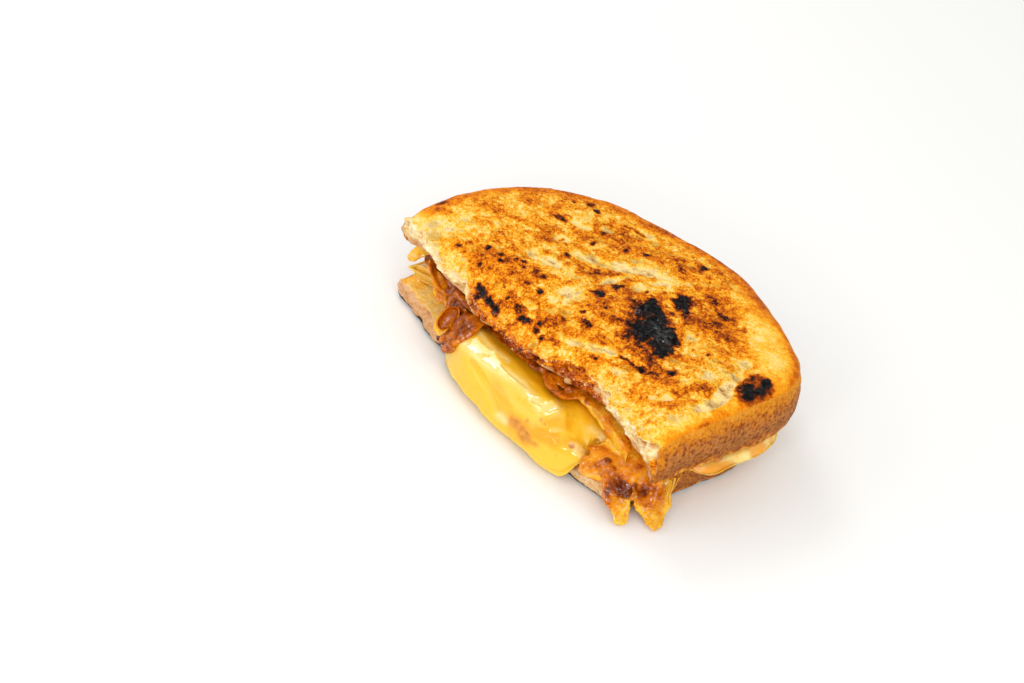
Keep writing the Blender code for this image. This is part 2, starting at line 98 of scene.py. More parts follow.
# Heights of the layers well inside the sandwich, and how each one bends.
LOWER_TOP = 9.5
CHEESE_TOP = 13.2
UPPER_BOTTOM = 17.4
UPPER_TOP = 29.6
LAYER_GAP = 0.6
CHEESE_GAP = 0.9
SQUASH_REACH = 13.0
ROLL_REACH = 5.0
LOWER_SQUASH = 3.4
CRUST_BEND = (
    (0, 1.0), (12, 3.2), (30, 3.9), (55, 3.9), (80, 3.0), (110, 2.4), (150, 1.8), (180, 0.6),
)
CRUST_BEND_REACH = 9.0
UPPER_TOP_BEND = 0.9
CHEESE_BEND = 2.4
CRUST_CORNER = 3.2
TORN_CORNER = 1.3
UPPER_LOW_CORNER = 1.8
LOWER_CORNER = 2.2
CRUST_BULGE = 0.9
HIDDEN_PULLS = (0.0, 0.09, 0.19, 0.32, 0.55, 1.0)

# The cheese's lip: how far it stands beyond the lower slice along the cut, and how high it rises there.
CHEESE_LIP = (
    (-54, -8.0), (-34, -7.0), (-27, -4.5), (-24, -1.0), (-21, 2.2), (-17, 4.6), (-13, 6.0), (-7, 7.2),
    (0, 7.4), (12, 7.0), (22, 7.1), (28, 6.0), (32, 3.4), (36, -0.6), (41, -2.4), (54, -3.0),
)
CHEESE_RISE = (
    (-54, -1.4), (-30, -1.0), (-21, 0.6), (0, 0.8), (24, 0.6), (32, -2.2), (38, -4.6), (54, -4.8),
)
CHEESE_EDGE = -1.6
CORNER_OOZE = 7.6
CHEESE_RISE_REACH = 7.0
LIP_LOW = 1.5
HOOK_CLEARANCE = 2.5
CORE_INSET = ((-54, 7.0), (-30, 5.0), (-14, 5.0), (8, 6.0), (20, 10.0), (34, 10.0), (46, 6.0), (54, 6.0))
CORE_CRUST_INSET = 7.0
print("loaf slice reach along the cut:", UPPER_CRUST[0][1] + UPPER_CRUST[-1][1], "mm")

# %% [markdown]
# ## The camera of the photograph
#
# The photograph was taken from the base crust's side, looking down, with the camera a little rolled.
# The camera comes first because the marks on the toast are named by where they stand in the picture:
# a point of the bread is carried through the lens, and its place in the picture decides its colour.

# %% Camera
PICTURE = (1024, 683)
LENS = 85.0
SENSOR = 36.0
AZIMUTH, ELEVATION, ROLL = 45.48, 37.57, 12.1
AIM_ACROSS, AIM_UP = -0.55, -15.32
DISTANCE = 640.27


def camera_axes():
    """Right, up and back of the camera: azimuth about z, then elevation, then roll about the view."""
    turn, lift, roll = (math.radians(value) for value in (AZIMUTH, ELEVATION, ROLL))
    back = np.array([math.sin(turn) * math.cos(lift), -math.cos(turn) * math.cos(lift), math.sin(lift)])
    right = np.array([math.cos(turn), math.sin(turn), 0.0])
    up = np.cross(back, right)
    rolled = math.cos(roll) * right + math.sin(roll) * up
    return rolled, math.cos(roll) * up - math.sin(roll) * right, back


RIGHT, UP, BACK = camera_axes()
EYE = -AIM_ACROSS * RIGHT - AIM_UP * UP + DISTANCE * BACK


def picture_place(points):
    """Where layout points stand in the picture, in its pixels: a plain perspective division."""
    away = points - EYE
    depth = -(away @ BACK)
    focal = LENS / SENSOR * PICTURE[0]
    across = PICTURE[0] / 2 + focal * (away @ RIGHT) / depth
    down = PICTURE[1] / 2 - focal * (away @ UP) / depth
    return np.stack([across, down], axis=-1)


def under_pixel(across, down, height):
    """The layout point of a given height that stands at a pixel: the pixel's ray cut by that plane."""
    focal = LENS / SENSOR * PICTURE[0]
    ray = RIGHT * (across - PICTURE[0] / 2) / focal + UP * (PICTURE[1] / 2 - down) / focal - BACK
    return EYE + ray * (height - EYE[2]) / ray[2]


def stand(made, right, up, back, spot):
    """Puts a camera or a lamp into the scene at a spot in mm, turned to its three directions."""
    matrix = np.eye(4)
    matrix[:3] = np.stack([right, up, back, spot * MM], axis=1)
    made.matrix_world = matrix.T
    bpy.context.scene.collection.objects.link(made)


lens = bpy.data.cameras.new("photo_camera")
lens.lens = LENS
lens.sensor_width = SENSOR
lens.clip_start = 0.01
camera = bpy.data.objects.new("photo_camera", lens)
stand(camera, RIGHT, UP, BACK, EYE + PLACE)
bpy.context.scene.camera = camera
print("the middle of the cut's top stands at pixel", picture_place(np.array([0.0, 0.0, 24.0])).round(1))

# %% [markdown]
# ## Noise and bubbles
#
# Bread and cheese are uneven at every scale. Two small functions give nearly all of it: a smooth
# noise on a lattice, and round bubbles scattered one to a lattice cell, for the holes in the crumb.

# %% Noise helpers


def smooth_step(value):
    """0 below 0, 1 above 1, and an even S curve between."""
    held = np.clip(value, 0.0, 1.0)
    return held * held * (3.0 - 2.0 * held)


def bell(value, width):
    """A bell curve: 1 where the value is 0, and exp(-1) where it is one width away."""
    return np.exp(-((value / width) ** 2))


def corner_value(cell, seed):
    """A repeatable number from 0 to 1 for each whole-number lattice corner. The products may overflow."""
    cell = cell.astype(np.uint64)
    mixed = cell[..., 0] * np.uint64(73856093) ^ cell[..., 1] * np.uint64(19349663)
    mixed ^= cell[..., 2] * np.uint64(83492791) ^ np.uint64(seed * 2654435761)
    with np.errstate(over="ignore"):
        mixed = (mixed ^ (mixed >> np.uint64(15))) * np.uint64(2246822519)
        mixed = (mixed ^ (mixed >> np.uint64(13))) * np.uint64(3266489917)
    return ((mixed >> np.uint64(16)) & np.uint64(65535)).astype(float) / 65535.0


def noise(points, cell_size, seed):
    """Smooth noise from -1 to 1: values at the corners of a cubic lattice, blended inside each cell."""
    scaled = points / cell_size + 1000.0
    low = np.floor(scaled)
    weight = smooth_step(scaled - low)
    total = np.zeros(points.shape[:-1])
    for corner in itertools.product((0, 1), repeat=3):
        share = np.prod(np.where(corner, weight, 1.0 - weight), axis=-1)
        total += share * corner_value(low + corner, seed)
    return 2.0 * total - 1.0


def rough(points, cell_size, seed, octaves=3):
    """Noise added up over halving cell sizes, each octave half as strong as the one before."""
    parts = [noise(points, cell_size / 2**k, seed + k) / 2**k for k in range(octaves)]
    return sum(parts) / (2.0 - 0.5 ** (octaves - 1))


def bubbles(points, cell_size, seed, largest=0.62):
    """How deep each point lies in scattered round bubbles: sqrt(r^2 - d^2) of the deepest, in cells."""
    scaled = points / cell_size + 1000.0
    low = np.floor(scaled)
    deepest = np.zeros(points.shape[:-1])
    for step in itertools.product((-1, 0, 1), repeat=3):
        cell = low + step
        middle = cell + np.stack([0.15 + 0.7 * corner_value(cell, seed + k) for k in range(3)], axis=-1)
        radius = largest * (0.25 + 0.75 * corner_value(cell, seed + 3) ** 1.5)
        inside = radius**2 - ((scaled - middle) ** 2).sum(axis=-1)
        deepest = np.maximum(deepest, np.sqrt(np.maximum(inside, 0.0)))
    return deepest


def flattened(points):
    """The same points at height zero, for patterns that run straight down through the bread."""
    return points * np.array([1.0, 1.0, 0.0])


def stretched(points, turn, stretch):
    """Points turned about z and squeezed along their new x, so that a round pattern grows long there."""
    lean = math.radians(turn)
    along = points[..., 0] * math.cos(lean) + points[..., 1] * math.sin(lean)
    across = points[..., 1] * math.cos(lean) - points[..., 0] * math.sin(lean)
    return np.stack([along / stretch, across, points[..., 2]], axis=-1)


print("noise of one point:", round(float(noise(np.array([1.5, 2.5, 3.5]), 1.0, 7)), 3))

# %% [markdown]
# ## The outline and the heights of the layers
#
# A half slice is a polar curve for the crust, closed by the torn cut. The heights of the layers are
# functions of the place in the slice, so neighbouring layers bend alike and never cross.

# %% Outline helpers


def along_knots(knots, x):
    """A smooth curve through (x, value) knots."""
    known = np.array(knots, float)
    fine = np.linspace(known[0, 0], known[-1, 0], 241)
    values = np.interp(fine, known[:, 0], known[:, 1])
    window = np.hanning(19)
    padded = np.pad(values, 9, mode="edge")
    return np.interp(x, fine, np.convolve(padded, window / window.sum(), mode="valid"))


def torn_face(column, x):
    """One column of UPPER_TEAR as a smooth curve over x."""
    return along_knots(UPPER_TEAR[:, (0, column)], x)


def running_mean(line, window):
    """A line of points whose ends were lengthened for it, each point averaged by the window's weights."""
    weights = window / window.sum()
    return np.stack([np.convolve(column, weights, mode="valid") for column in line.T], axis=1)


def evenly(line, count, closed):
    """The polyline, read again at count points of equal spacing."""
    if closed:
        line = np.concatenate([line, line[:1]])
    travelled = np.concatenate([[0.0], np.cumsum(np.linalg.norm(np.diff(line, axis=0), axis=1))])
    wanted = np.linspace(0.0, travelled[-1], count, endpoint=not closed)
    return np.stack([np.interp(wanted, travelled, line[:, k]) for k in range(line.shape[1])], axis=1)


def half_slice(cut_cells, crust_cells, crust_reach, tear):
    """Outline of a half slice and its outward directions, anticlockwise from the dome corner.

    The cut comes first, then the crust, the polar curve (R cos a, R sin a) for a from 0 to 180
    degrees. A running mean softens the two corners.
    """
    angle = np.linspace(0.0, 180.0, 400)
    reach = along_knots(crust_reach, angle)
    crust = np.stack([np.cos(np.radians(angle)), np.sin(np.radians(angle))], axis=1) * reach[:, None]
    cut_x = np.linspace(-reach[-1], reach[0], 301)
    cut = np.stack([cut_x, along_knots(tear, cut_x)], axis=1)
    loop = evenly(np.concatenate([cut, crust]), 1200, True)
    corner = int(np.argmin(np.linalg.norm(loop - cut[-1], axis=1)))
    width = round(CORNER_SOFTENING / np.linalg.norm(loop[1] - loop[0]))
    wrapped = np.concatenate([loop[-width:], loop, loop[:width]])
    loop = running_mean(wrapped, np.hanning(2 * width + 3)[1:-1])
    wanted = np.concatenate([
        np.linspace(0.0, corner, cut_cells, endpoint=False),
        np.linspace(corner, len(loop), crust_cells, endpoint=False),
    ])
    closed = np.concatenate([loop, loop[:1]])
    places = np.arange(len(closed))
    loop = np.stack([np.interp(wanted, places, closed[:, k]) for k in (0, 1)], axis=1)
    ahead = np.roll(loop, -1, axis=0) - np.roll(loop, 1, axis=0)
    outward = np.stack([ahead[:, 1], -ahead[:, 0]], axis=1)
    return loop, outward / np.linalg.norm(outward, axis=1, keepdims=True)


def facing_cut(outward):
    """1 where the outline is cut bread, 0 where it is crust."""
    return smooth_step((-outward[:, 1] - 0.25) / 0.5)


def inset(outline, outward, distance):
    """The outline moved in towards the heart until it stands distance inside itself."""
    inward = HEART - outline
    inward = inward / np.linalg.norm(inward, axis=1, keepdims=True)
    lean = np.maximum(-(inward * outward).sum(axis=1), 0.7)
    return outline + inward * (distance / lean)[..., None]


def squash(points):
    """1 at the cut, fading to 0 inside the sandwich."""
    return bell(np.maximum(points[..., 1], 0.0), SQUASH_REACH)


def crust_angle(points):
    """Angle of each point round the middle of the cut, in degrees."""
    return np.degrees(np.arctan2(np.maximum(points[..., 1], 0.0), points[..., 0]))


def crust_distance(points, crust_reach=UPPER_CRUST):
    """How far each point lies inside the crust, in millimetres."""
    return along_knots(crust_reach, crust_angle(points)) - np.linalg.norm(points[..., :2], axis=-1)


def crust_nearness(points):
    """1 at the crust of the upper slice, fading to 0 inside."""
    return 1.0 - smooth_step(crust_distance(points) / CRUST_BEND_REACH)


# %% [markdown]
# Every height is a flat level for the middle of the sandwich, changed near the cut and near the crust.
# Tearing squashed the sandwich at the cut, and the crust bends down over the filling.

# %% Height helpers


def lower_top(points):
    """Height of the lower slice's upper face."""
    return LOWER_TOP - LOWER_SQUASH * squash(points)


def cheese_top(points):
    """Height of the cheese's upper face."""
    near_cut = bell(np.maximum(points[..., 1] + 2.0, 0.0), CHEESE_RISE_REACH)
    rise = along_knots(CHEESE_RISE, points[..., 0]) * near_cut
    near = crust_nearness(points)
    return CHEESE_TOP + rise * (1.0 - near) - CHEESE_BEND * near * (1.0 - 0.7 * near_cut)


def cheese_bottom(points):
    """Height of the cheese's lower face, just clear of the lower slice."""
    return lower_top(points) + CHEESE_GAP


def upper_bottom(points):
    """Height of the upper slice's lower face."""
    edge = torn_face(LOW_Z, points[..., 0])
    bend = along_knots(CRUST_BEND, crust_angle(points)) * crust_nearness(points)
    return UPPER_BOTTOM + (edge - UPPER_BOTTOM) * squash(points) - bend


def upper_top(points):
    """Height of the upper slice's toasted face, with the low swells of a pressed slice."""
    level = np.concatenate([points, np.zeros(points.shape[:-1] + (1,))], axis=-1)
    swells = 0.45 * noise(level, 17.0, 5) + 0.3 * noise(level, 8.0, 6)
    edge = torn_face(TOP_Z, points[..., 0])
    depth = np.maximum(points[..., 1] - torn_face(TOP_Y, points[..., 0]), 0.0)
    fall = 0.5 * bell(depth, SQUASH_REACH) + 0.5 * bell(depth, ROLL_REACH)
    return UPPER_TOP - (UPPER_TOP - edge) * fall - UPPER_TOP_BEND * crust_nearness(points) + swells


def flat_base(points):
    """Height of the lower slice's lower face: it lies on the table."""
    return np.zeros(points.shape[:-1])


print("bread thickness at the heart:", round(float(upper_top(HEART) - upper_bottom(HEART)), 1), "mm")

# %% [markdown]
# ## From arrays to meshes
#
# Two kinds of closed surface are enough. A shell has a face filled evenly between its four sides, with
# rings round its edge that run down and under. A ringed body has rings from one pole to the other.
# Even cells matter: every millimetre of the bread gets the same two or three points for its relief.

# %% Mesh helpers


def patch_between(loop, across, up):
    """Fills a closed loop of 2 (across + up) points with a grid.

    It is the Coons patch: the sum of the two ruled surfaces between opposite sides, less the
    surface that blends the four corners.
    """
    bottom, right = loop[: across + 1], loop[across : across + up + 1]
    top = loop[across + up : 2 * across + up + 1][::-1]
    left = np.concatenate([loop[2 * across + up :], loop[:1]])[::-1]
    u = np.linspace(0.0, 1.0, across + 1)[None, :, None]
    v = np.linspace(0.0, 1.0, up + 1)[:, None, None]
    ruled = (1 - v) * bottom[None] + v * top[None] + (1 - u) * left[:, None] + u * right[:, None]
    corners = (1 - u) * (1 - v) * loop[0] + u * (1 - v) * loop[across]
    corners = corners + u * v * loop[across + up] + (1 - u) * v * loop[2 * across + up]
    return ruled - corners


def tiles(index):
    """Four-sided faces between the rows and columns of an index grid."""
    return np.stack([index[:-1, :-1], index[:-1, 1:], index[1:, 1:], index[1:, :-1]], axis=-1).reshape(-1, 4)


def walls(stack):
    """Four-sided faces between rings, each ring closed on itself and lying below the one before."""
    ahead = np.roll(stack, -1, axis=1)
    return np.stack([stack[:-1], stack[1:], ahead[1:], ahead[:-1]], axis=-1).reshape(-1, 4)


def rim(index):
    """The edge of an index grid, in the order of the loop that the grid fills."""
    return np.concatenate([index[0, :-1], index[:-1, -1], index[-1, :0:-1], index[:0:-1, 0]])


def new_piece(name, points, faces):
    """An object at the origin whose mesh holds the layout points, moved into the frame in metres."""
    mesh = bpy.data.meshes.new(name)
    mesh.from_pydata((points + PLACE) * MM, [], faces)
    mesh.shade_smooth()
    made = bpy.data.objects.new(name, mesh)
    bpy.context.scene.collection.objects.link(made)
    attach(made, "root")
    return made


def normals_of(piece):
    """Outward direction at each point of a piece."""
    found = np.empty(len(piece.data.vertices) * 3)
    piece.data.vertex_normals.foreach_get("vector", found)
    return found.reshape(-1, 3)


def reshape_piece(piece, points):
    """Gives a piece its final points, held inside the box of the solids."""
    held = np.clip((points + PLACE) * MM, *cad_box)
    piece.data.vertices.foreach_set("co", held.ravel())
    piece.data.update()


def paint(piece, **masks):
    """Stores one value per point of a piece under each name, for its material to read."""
    for name, values in masks.items():
        layer = piece.data.attributes.new(name, "FLOAT", "POINT")
        layer.data.foreach_set("value", np.asarray(values, np.float32).ravel())


def shell_faces(patch_shape, ring_count, second_patch):
    """Faces of a shell: the upper patch, the rings and, below, a pole or a second patch."""
    index = np.arange(patch_shape[0] * patch_shape[1]).reshape(patch_shape)
    edge = rim(index)
    rings = index.size + np.arange(ring_count * edge.size).reshape(ring_count, edge.size)
    stack = np.concatenate([edge[None], rings])
    used = index.size + rings.size
    if second_patch:
        under = used + index
        stack = np.concatenate([stack, rim(under)[None]])
        return [*tiles(index).tolist(), *walls(stack).tolist(), *tiles(under)[:, ::-1].tolist()]
    last = stack[-1]
    fan = np.stack([last, np.full_like(last, used), np.roll(last, -1)], axis=-1)
    return [*tiles(index).tolist(), *walls(stack).tolist(), *fan.tolist()]


def ringed_faces(ring_count, columns):
    """Faces of a body of rings from a first pole to a last one. The poles are its last two points."""
    rings = np.arange(ring_count * columns).reshape(ring_count, columns)
    first, last = rings[0], rings[-1]
    top = np.stack([np.full_like(first, rings.size), first, np.roll(first, -1)], axis=-1)
    low = np.stack([last, np.full_like(last, rings.size + 1), np.roll(last, -1)], axis=-1)
    return [*walls(rings).tolist(), *top.tolist(), *low.tolist()]


print("an 8 by 5 grid has", len(tiles(np.arange(40).reshape(5, 8))), "tiles")

# %% [markdown]
# ## The shape of a slice
#
# A slice of country bread is the toasted face, a rounded shoulder, the crust or the torn side, and the
# face below. One function gives the rings of both slices from the two height functions, in the same
# words as the solid, so that the fine surface keeps the solid's form.

# %% Rings of a slice


def slice_rows(shoulder, side, foot, hidden):
    """One row of shares for each ring below the toasted face.

    The shares are: pull to the heart, inset and drop of the upper corner, inset and rise of the lower
    corner, bulge, and share of the upper face.
    """
    rows = []
    for turn in np.linspace(0.0, math.pi / 2, shoulder + 1)[1:]:
        rows.append((0.0, 1.0 - math.sin(turn), 1.0 - math.cos(turn), 0.0, 0.0, 0.0, 1.0))
    for down in np.linspace(0.0, 1.0, side + 1)[1:]:
        rows.append((0.0, 0.0, 1.0 - down, 0.0, down, math.sin(math.pi * down), 1.0 - down))
    for turn in np.linspace(0.0, math.pi / 2, foot + 1)[1:]:
        rows.append((0.0, 0.0, 0.0, 1.0 - math.cos(turn), 1.0 - math.sin(turn), 0.0, 0.0))
    for pull in hidden:
        rows.append((pull, 0.0, 0.0, 1.0, 0.0, 0.0, 0.0))
    return np.array(rows)


def softened(at_cut, corner):
    """Radius of a slice's corner: the given one at the crust, and never more than the torn one at the cut."""
    return at_cut * min(corner, TORN_CORNER) + (1.0 - at_cut) * corner


def slice_rings(outline, outward, rows, high, low, corner, low_corner, recede, crag, seed):
    """Ring positions of a slice. recede carries the torn face's lower edge inwards, and crag roughens it."""
    pull, top_in, top_down, low_in, low_up, bulge, share = (rows[:, k][:, None] for k in range(7))
    at_cut = facing_cut(outward)[None, :]
    corner, low_corner = softened(at_cut, corner), softened(at_cut, low_corner)
    edge = inset(outline, outward, top_in * corner + low_in * low_corner)
    flat = HEART + (edge - HEART) * (1.0 - pull[..., None])
    flat[..., 1] += at_cut * recede * (1.0 - share) * (1.0 - pull) ** 3
    flat += outward[None] * (bulge * CRUST_BULGE * (1.0 - 0.7 * at_cut))[..., None]
    z = share * high(flat) + (1.0 - share) * low(flat) - corner * top_down + low_corner * low_up
    grid = np.concatenate([flat, z[..., None]], axis=-1)
    on_side = (pull < 1e-6) * smooth_step((1.0 - top_in - low_in) / 0.6)
    rugged = (crag * at_cut + 0.25 * (1.0 - at_cut)) * on_side
    bite = 0.6 * noise(grid, 6.0, seed) + 0.5 * noise(grid, 3.1, seed + 1)
    grid[..., :2] += outward[None] * (rugged * bite)[..., None]
    return grid


def face_patch(outline, outward, across, up, corner, height):
    """The flat face inside a slice's rounded corner, as a patch lifted to its height."""
    at_cut = facing_cut(outward)
    flat = patch_between(inset(outline, outward, softened(at_cut, corner)), across, up)
    return np.concatenate([flat, height(flat)[..., None]], axis=-1)


# %% [markdown]
# ## What the pan did to the toast
#
# A buttered slice browns where it touches the pan. Holes in the crumb stay pale, the swells between
# them turn golden and then brown, and a few spots burn black. The marks below are given in pixels of
# the photograph: each is an ellipse that pulls the browning level towards its own, where 0 is bare
# crumb, 0.5 is golden orange and 1 is charcoal.

# %% Marks on the toasted face
# Broad zones: across, down, half width, half height, turn in degrees, level, strength.
TOAST_ZONES = (
    (448, 222, 48, 17, -12, 0.29, 0.9), (555, 220, 42, 9, 10, 0.33, 0.7), (500, 257, 48, 21, 22, 0.54, 0.8),
    (535, 318, 64, 18, 24, 0.58, 0.85), (600, 300, 46, 22, 15, 0.57, 0.7), (575, 298, 15, 14, 0, 0.32, 0.7),
    (640, 246, 64, 12, 18, 0.6, 0.7), (722, 318, 26, 28, 30, 0.66, 0.85),
    (690, 276, 42, 10, 28, 0.56, 0.6), (700, 352, 34, 20, 30, 0.44, 0.6),
    (690, 392, 38, 14, -10, 0.56, 0.7), (648, 368, 42, 9, 18, 0.6, 0.8), (764, 343, 58, 13, 58, 0.35, 0.9),
    (682, 424, 42, 10, -14, 0.38, 0.7), (640, 402, 28, 15, 40, 0.4, 0.6), (718, 262, 30, 6, 32, 0.4, 0.6),
    (654, 331, 40, 44, 30, 0.6, 0.85), (752, 390, 22, 20, 0, 0.62, 0.7), (582, 268, 14, 7, 10, 0.66, 0.7),
    (560, 300, 11, 7, 20, 0.24, 0.7), (600, 350, 18, 5, 14, 0.14, 0.7), (562, 236, 26, 11, 14, 0.6, 0.85),
    (582, 332, 18, 9, 14, 0.38, 0.8), (610, 282, 16, 9, 10, 0.66, 0.7),
)
# Holes that the pan never reached: across, down, half width, half height, turn, level, depth in mm.
PALE_PITS = (
    (543, 256.5, 18, 6, 27, 0.05, 1.1), (622, 266, 46, 4.5, 14, 0.1, 0.8),
    (614, 279.5, 14, 3, -10, 0.1, 0.7), (568, 290, 8, 7, 0, 0.1, 0.9), (581, 225, 11, 3, 22, 0.15, 0.6),
    (605, 229, 7, 2.5, 15, 0.12, 0.5), (585, 343, 28, 5, 14, 0.1, 0.9), (618, 372, 9, 4, 5, 0.12, 0.8),
    (667, 397, 9, 4, 0, 0.06, 1.0), (652, 396, 4, 3, 0, 0.1, 0.7), (708, 374, 6, 5, 0, 0.08, 0.8),
    (723, 394, 25, 8, -48, 0.03, 1.2), (708, 406, 16, 7, -20, 0.03, 1.1), (745, 364, 6, 4, 0, 0.12, 0.6),
    (664, 283, 9, 3, 10, 0.1, 0.7), (530, 304, 8, 5, 20, 0.22, 0.5), (648, 236, 9, 2.5, 28, 0.2, 0.5),
    (690, 336, 5, 3, 0, 0.15, 0.6), (562, 238, 10, 4, 20, 0.22, 0.5),
)
# Scorched spots: across, down, half width, half height, turn, level.
SCORCHED = (
    (652, 332, 28, 33, -25, 0.7), (638, 312, 9, 13, 10, 0.72), (650, 305, 8.5, 8, 20, 1.0),
    (658, 315, 9, 11, -20, 1.0), (646, 331, 13, 9, 10, 1.0), (664, 339, 16, 13, 20, 1.0),
    (663, 352, 13, 6, 5, 0.98), (637, 330, 6, 9, 0, 0.92), (682.5, 298.5, 7.5, 5.5, 20, 1.0),
    (685, 308, 6, 6.5, 0, 1.0), (672, 313, 3, 3, 0, 0.9), (682, 304, 12, 14, 0, 0.67),
    (647, 292, 1.8, 1.6, 0, 0.95), (651, 296, 1.6, 2, 0, 0.95), (665, 292, 1.6, 1.4, 0, 0.9),
    (666.5, 306, 1.6, 2, 0, 0.92), (753, 391, 20, 17, -30, 0.72), (766, 384, 6, 5, 20, 0.98),
    (749, 393, 8, 8, 0, 1.0), (755, 377, 5, 3.6, 0, 0.94), (759, 392, 7, 5, 0, 0.96),
    (745, 386, 4, 3, 0, 0.9), (649, 310, 10, 9, -30, 1.0), (657, 323, 13, 9, 25, 1.0),
    (680, 305, 7, 7, 0, 1.0), (673, 313, 5, 3, -30, 0.92), (640, 314, 5, 9, 10, 0.84),
    (485, 295, 19, 5, 58, 0.78), (478, 295, 4.6, 4, 0, 0.97), (482, 291, 9, 4, 56, 1.0),
    (489, 301, 8, 4.6, 50, 1.0), (494, 309, 6, 4.4, 60, 0.96), (496, 316, 5, 4, 50, 0.86),
    (513, 341, 4, 3, 0, 0.86), (476.5, 282, 5, 2.2, 56, 0.94), (525.5, 320, 8, 3.6, 18, 1.0),
    (540, 323, 4, 4, 0, 0.92), (537, 331, 5, 6, 0, 0.88), (541, 337, 4, 4, 0, 0.86),
    (520, 309, 7, 5, 30, 0.82), (600, 293, 9, 5, 15, 0.97), (615.5, 288, 4, 4.5, 0, 0.95),
    (621, 286, 6, 2, 0, 0.88), (597, 273, 6, 3, 10, 0.88), (568.5, 255.5, 4, 4, 30, 0.82),
    (593, 244.5, 3, 3.5, 30, 0.93), (625.7, 251.5, 2.6, 2.4, 0, 0.93), (647, 255, 5, 2, 14, 0.9),
    (561.5, 219, 7, 2.6, 25, 0.86), (636, 231, 14, 2, 25, 0.8), (598, 212, 5, 2, 25, 0.95),
    (591, 204.5, 6, 2.4, 20, 0.8), (623, 357.5, 6, 2.6, 25, 0.97), (632, 363, 5, 2.2, 30, 0.95),
    (641, 369, 5, 3.4, 20, 0.97), (650, 373, 7, 1.8, 5, 0.88), (671, 373.5, 4, 3, 0, 0.88),
    (607, 307.5, 4, 2.4, 0, 0.84), (584, 311.5, 5, 2.2, 10, 0.86), (562.5, 319, 5, 3, 10, 0.84),
    (586, 323, 10, 5, 10, 0.76), (715, 302.5, 4, 2.6, 0, 0.88), (719, 312.5, 5, 2.6, 30, 0.86),
    (726, 319, 6, 3.4, 20, 0.86), (720, 325, 4.5, 3.6, 0, 0.86), (704, 268, 8, 3, 15, 0.9),
    (709, 282, 2.6, 2.2, 0, 0.86), (682.5, 271, 4, 2.4, 0, 0.84), (743, 332, 4, 5, 30, 0.74),
    (504, 287, 2.8, 2.6, 30, 1.0), (507.7, 298, 2.2, 2, 0, 0.98), (499, 305, 2.4, 2.2, 0, 0.98),
    (526.5, 283, 4, 2.4, 0, 0.9), (540.5, 291, 5, 3.4, 30, 0.97), (544, 277, 4.5, 3.4, 45, 0.86),
    (488, 247, 3, 2.6, 0, 0.95), (502, 254.5, 3, 2.4, 0, 0.84), (501, 260, 2, 1.8, 0, 0.98),
    (523.5, 261, 3.4, 1.8, 0, 0.94), (523.7, 267, 2, 2, 0, 0.98), (460, 245.5, 3, 2, 0, 0.88),
    (441, 203, 8, 2.6, -16, 0.84), (464.5, 252, 1.4, 1.4, 0, 0.95), (480, 264, 1.8, 1.6, 0, 0.95),
    (574, 202, 2.2, 2.2, 0, 0.86), (596, 358.5, 3.4, 2, 10, 0.84), (563, 238, 3, 1.8, 0, 0.8),
    (708, 355, 1.8, 1.8, 0, 0.95),
)
print(len(TOAST_ZONES), "zones,", len(PALE_PITS), "pale pits,", len(SCORCHED), "scorched spots")

# %% [markdown]
# An ellipse with a clean edge looks stamped on. Each mark's distance is shifted by noise before it is
# cut off, which tears its edge the way a burn follows the crumb.

# %% Painting the browning level


def ellipse_distance(place, mark):
    """Distance from the middle of a mark, in its own half widths: 1 is on the ellipse."""
    across, down, half_width, half_height, turn = mark[:5]
    lean = math.radians(turn)
    x, y = place[..., 0] - across, place[..., 1] - down
    along = (x * math.cos(lean) + y * math.sin(lean)) / half_width
    beside = (y * math.cos(lean) - x * math.sin(lean)) / half_height
    return np.sqrt(along**2 + beside**2)


def line_distance(place, line):
    """Distance in pixels from a polyline in the picture."""
    nearest = np.full(place.shape[:-1], 1e9)
    knots = np.array(line, float)
    for start, end in zip(knots[:-1], knots[1:]):
        span = end - start
        t = np.clip(((place - start) @ span) / (span @ span), 0.0, 1.0)
        nearest = np.minimum(nearest, np.linalg.norm(place - start - t[..., None] * span, axis=-1))
    return nearest


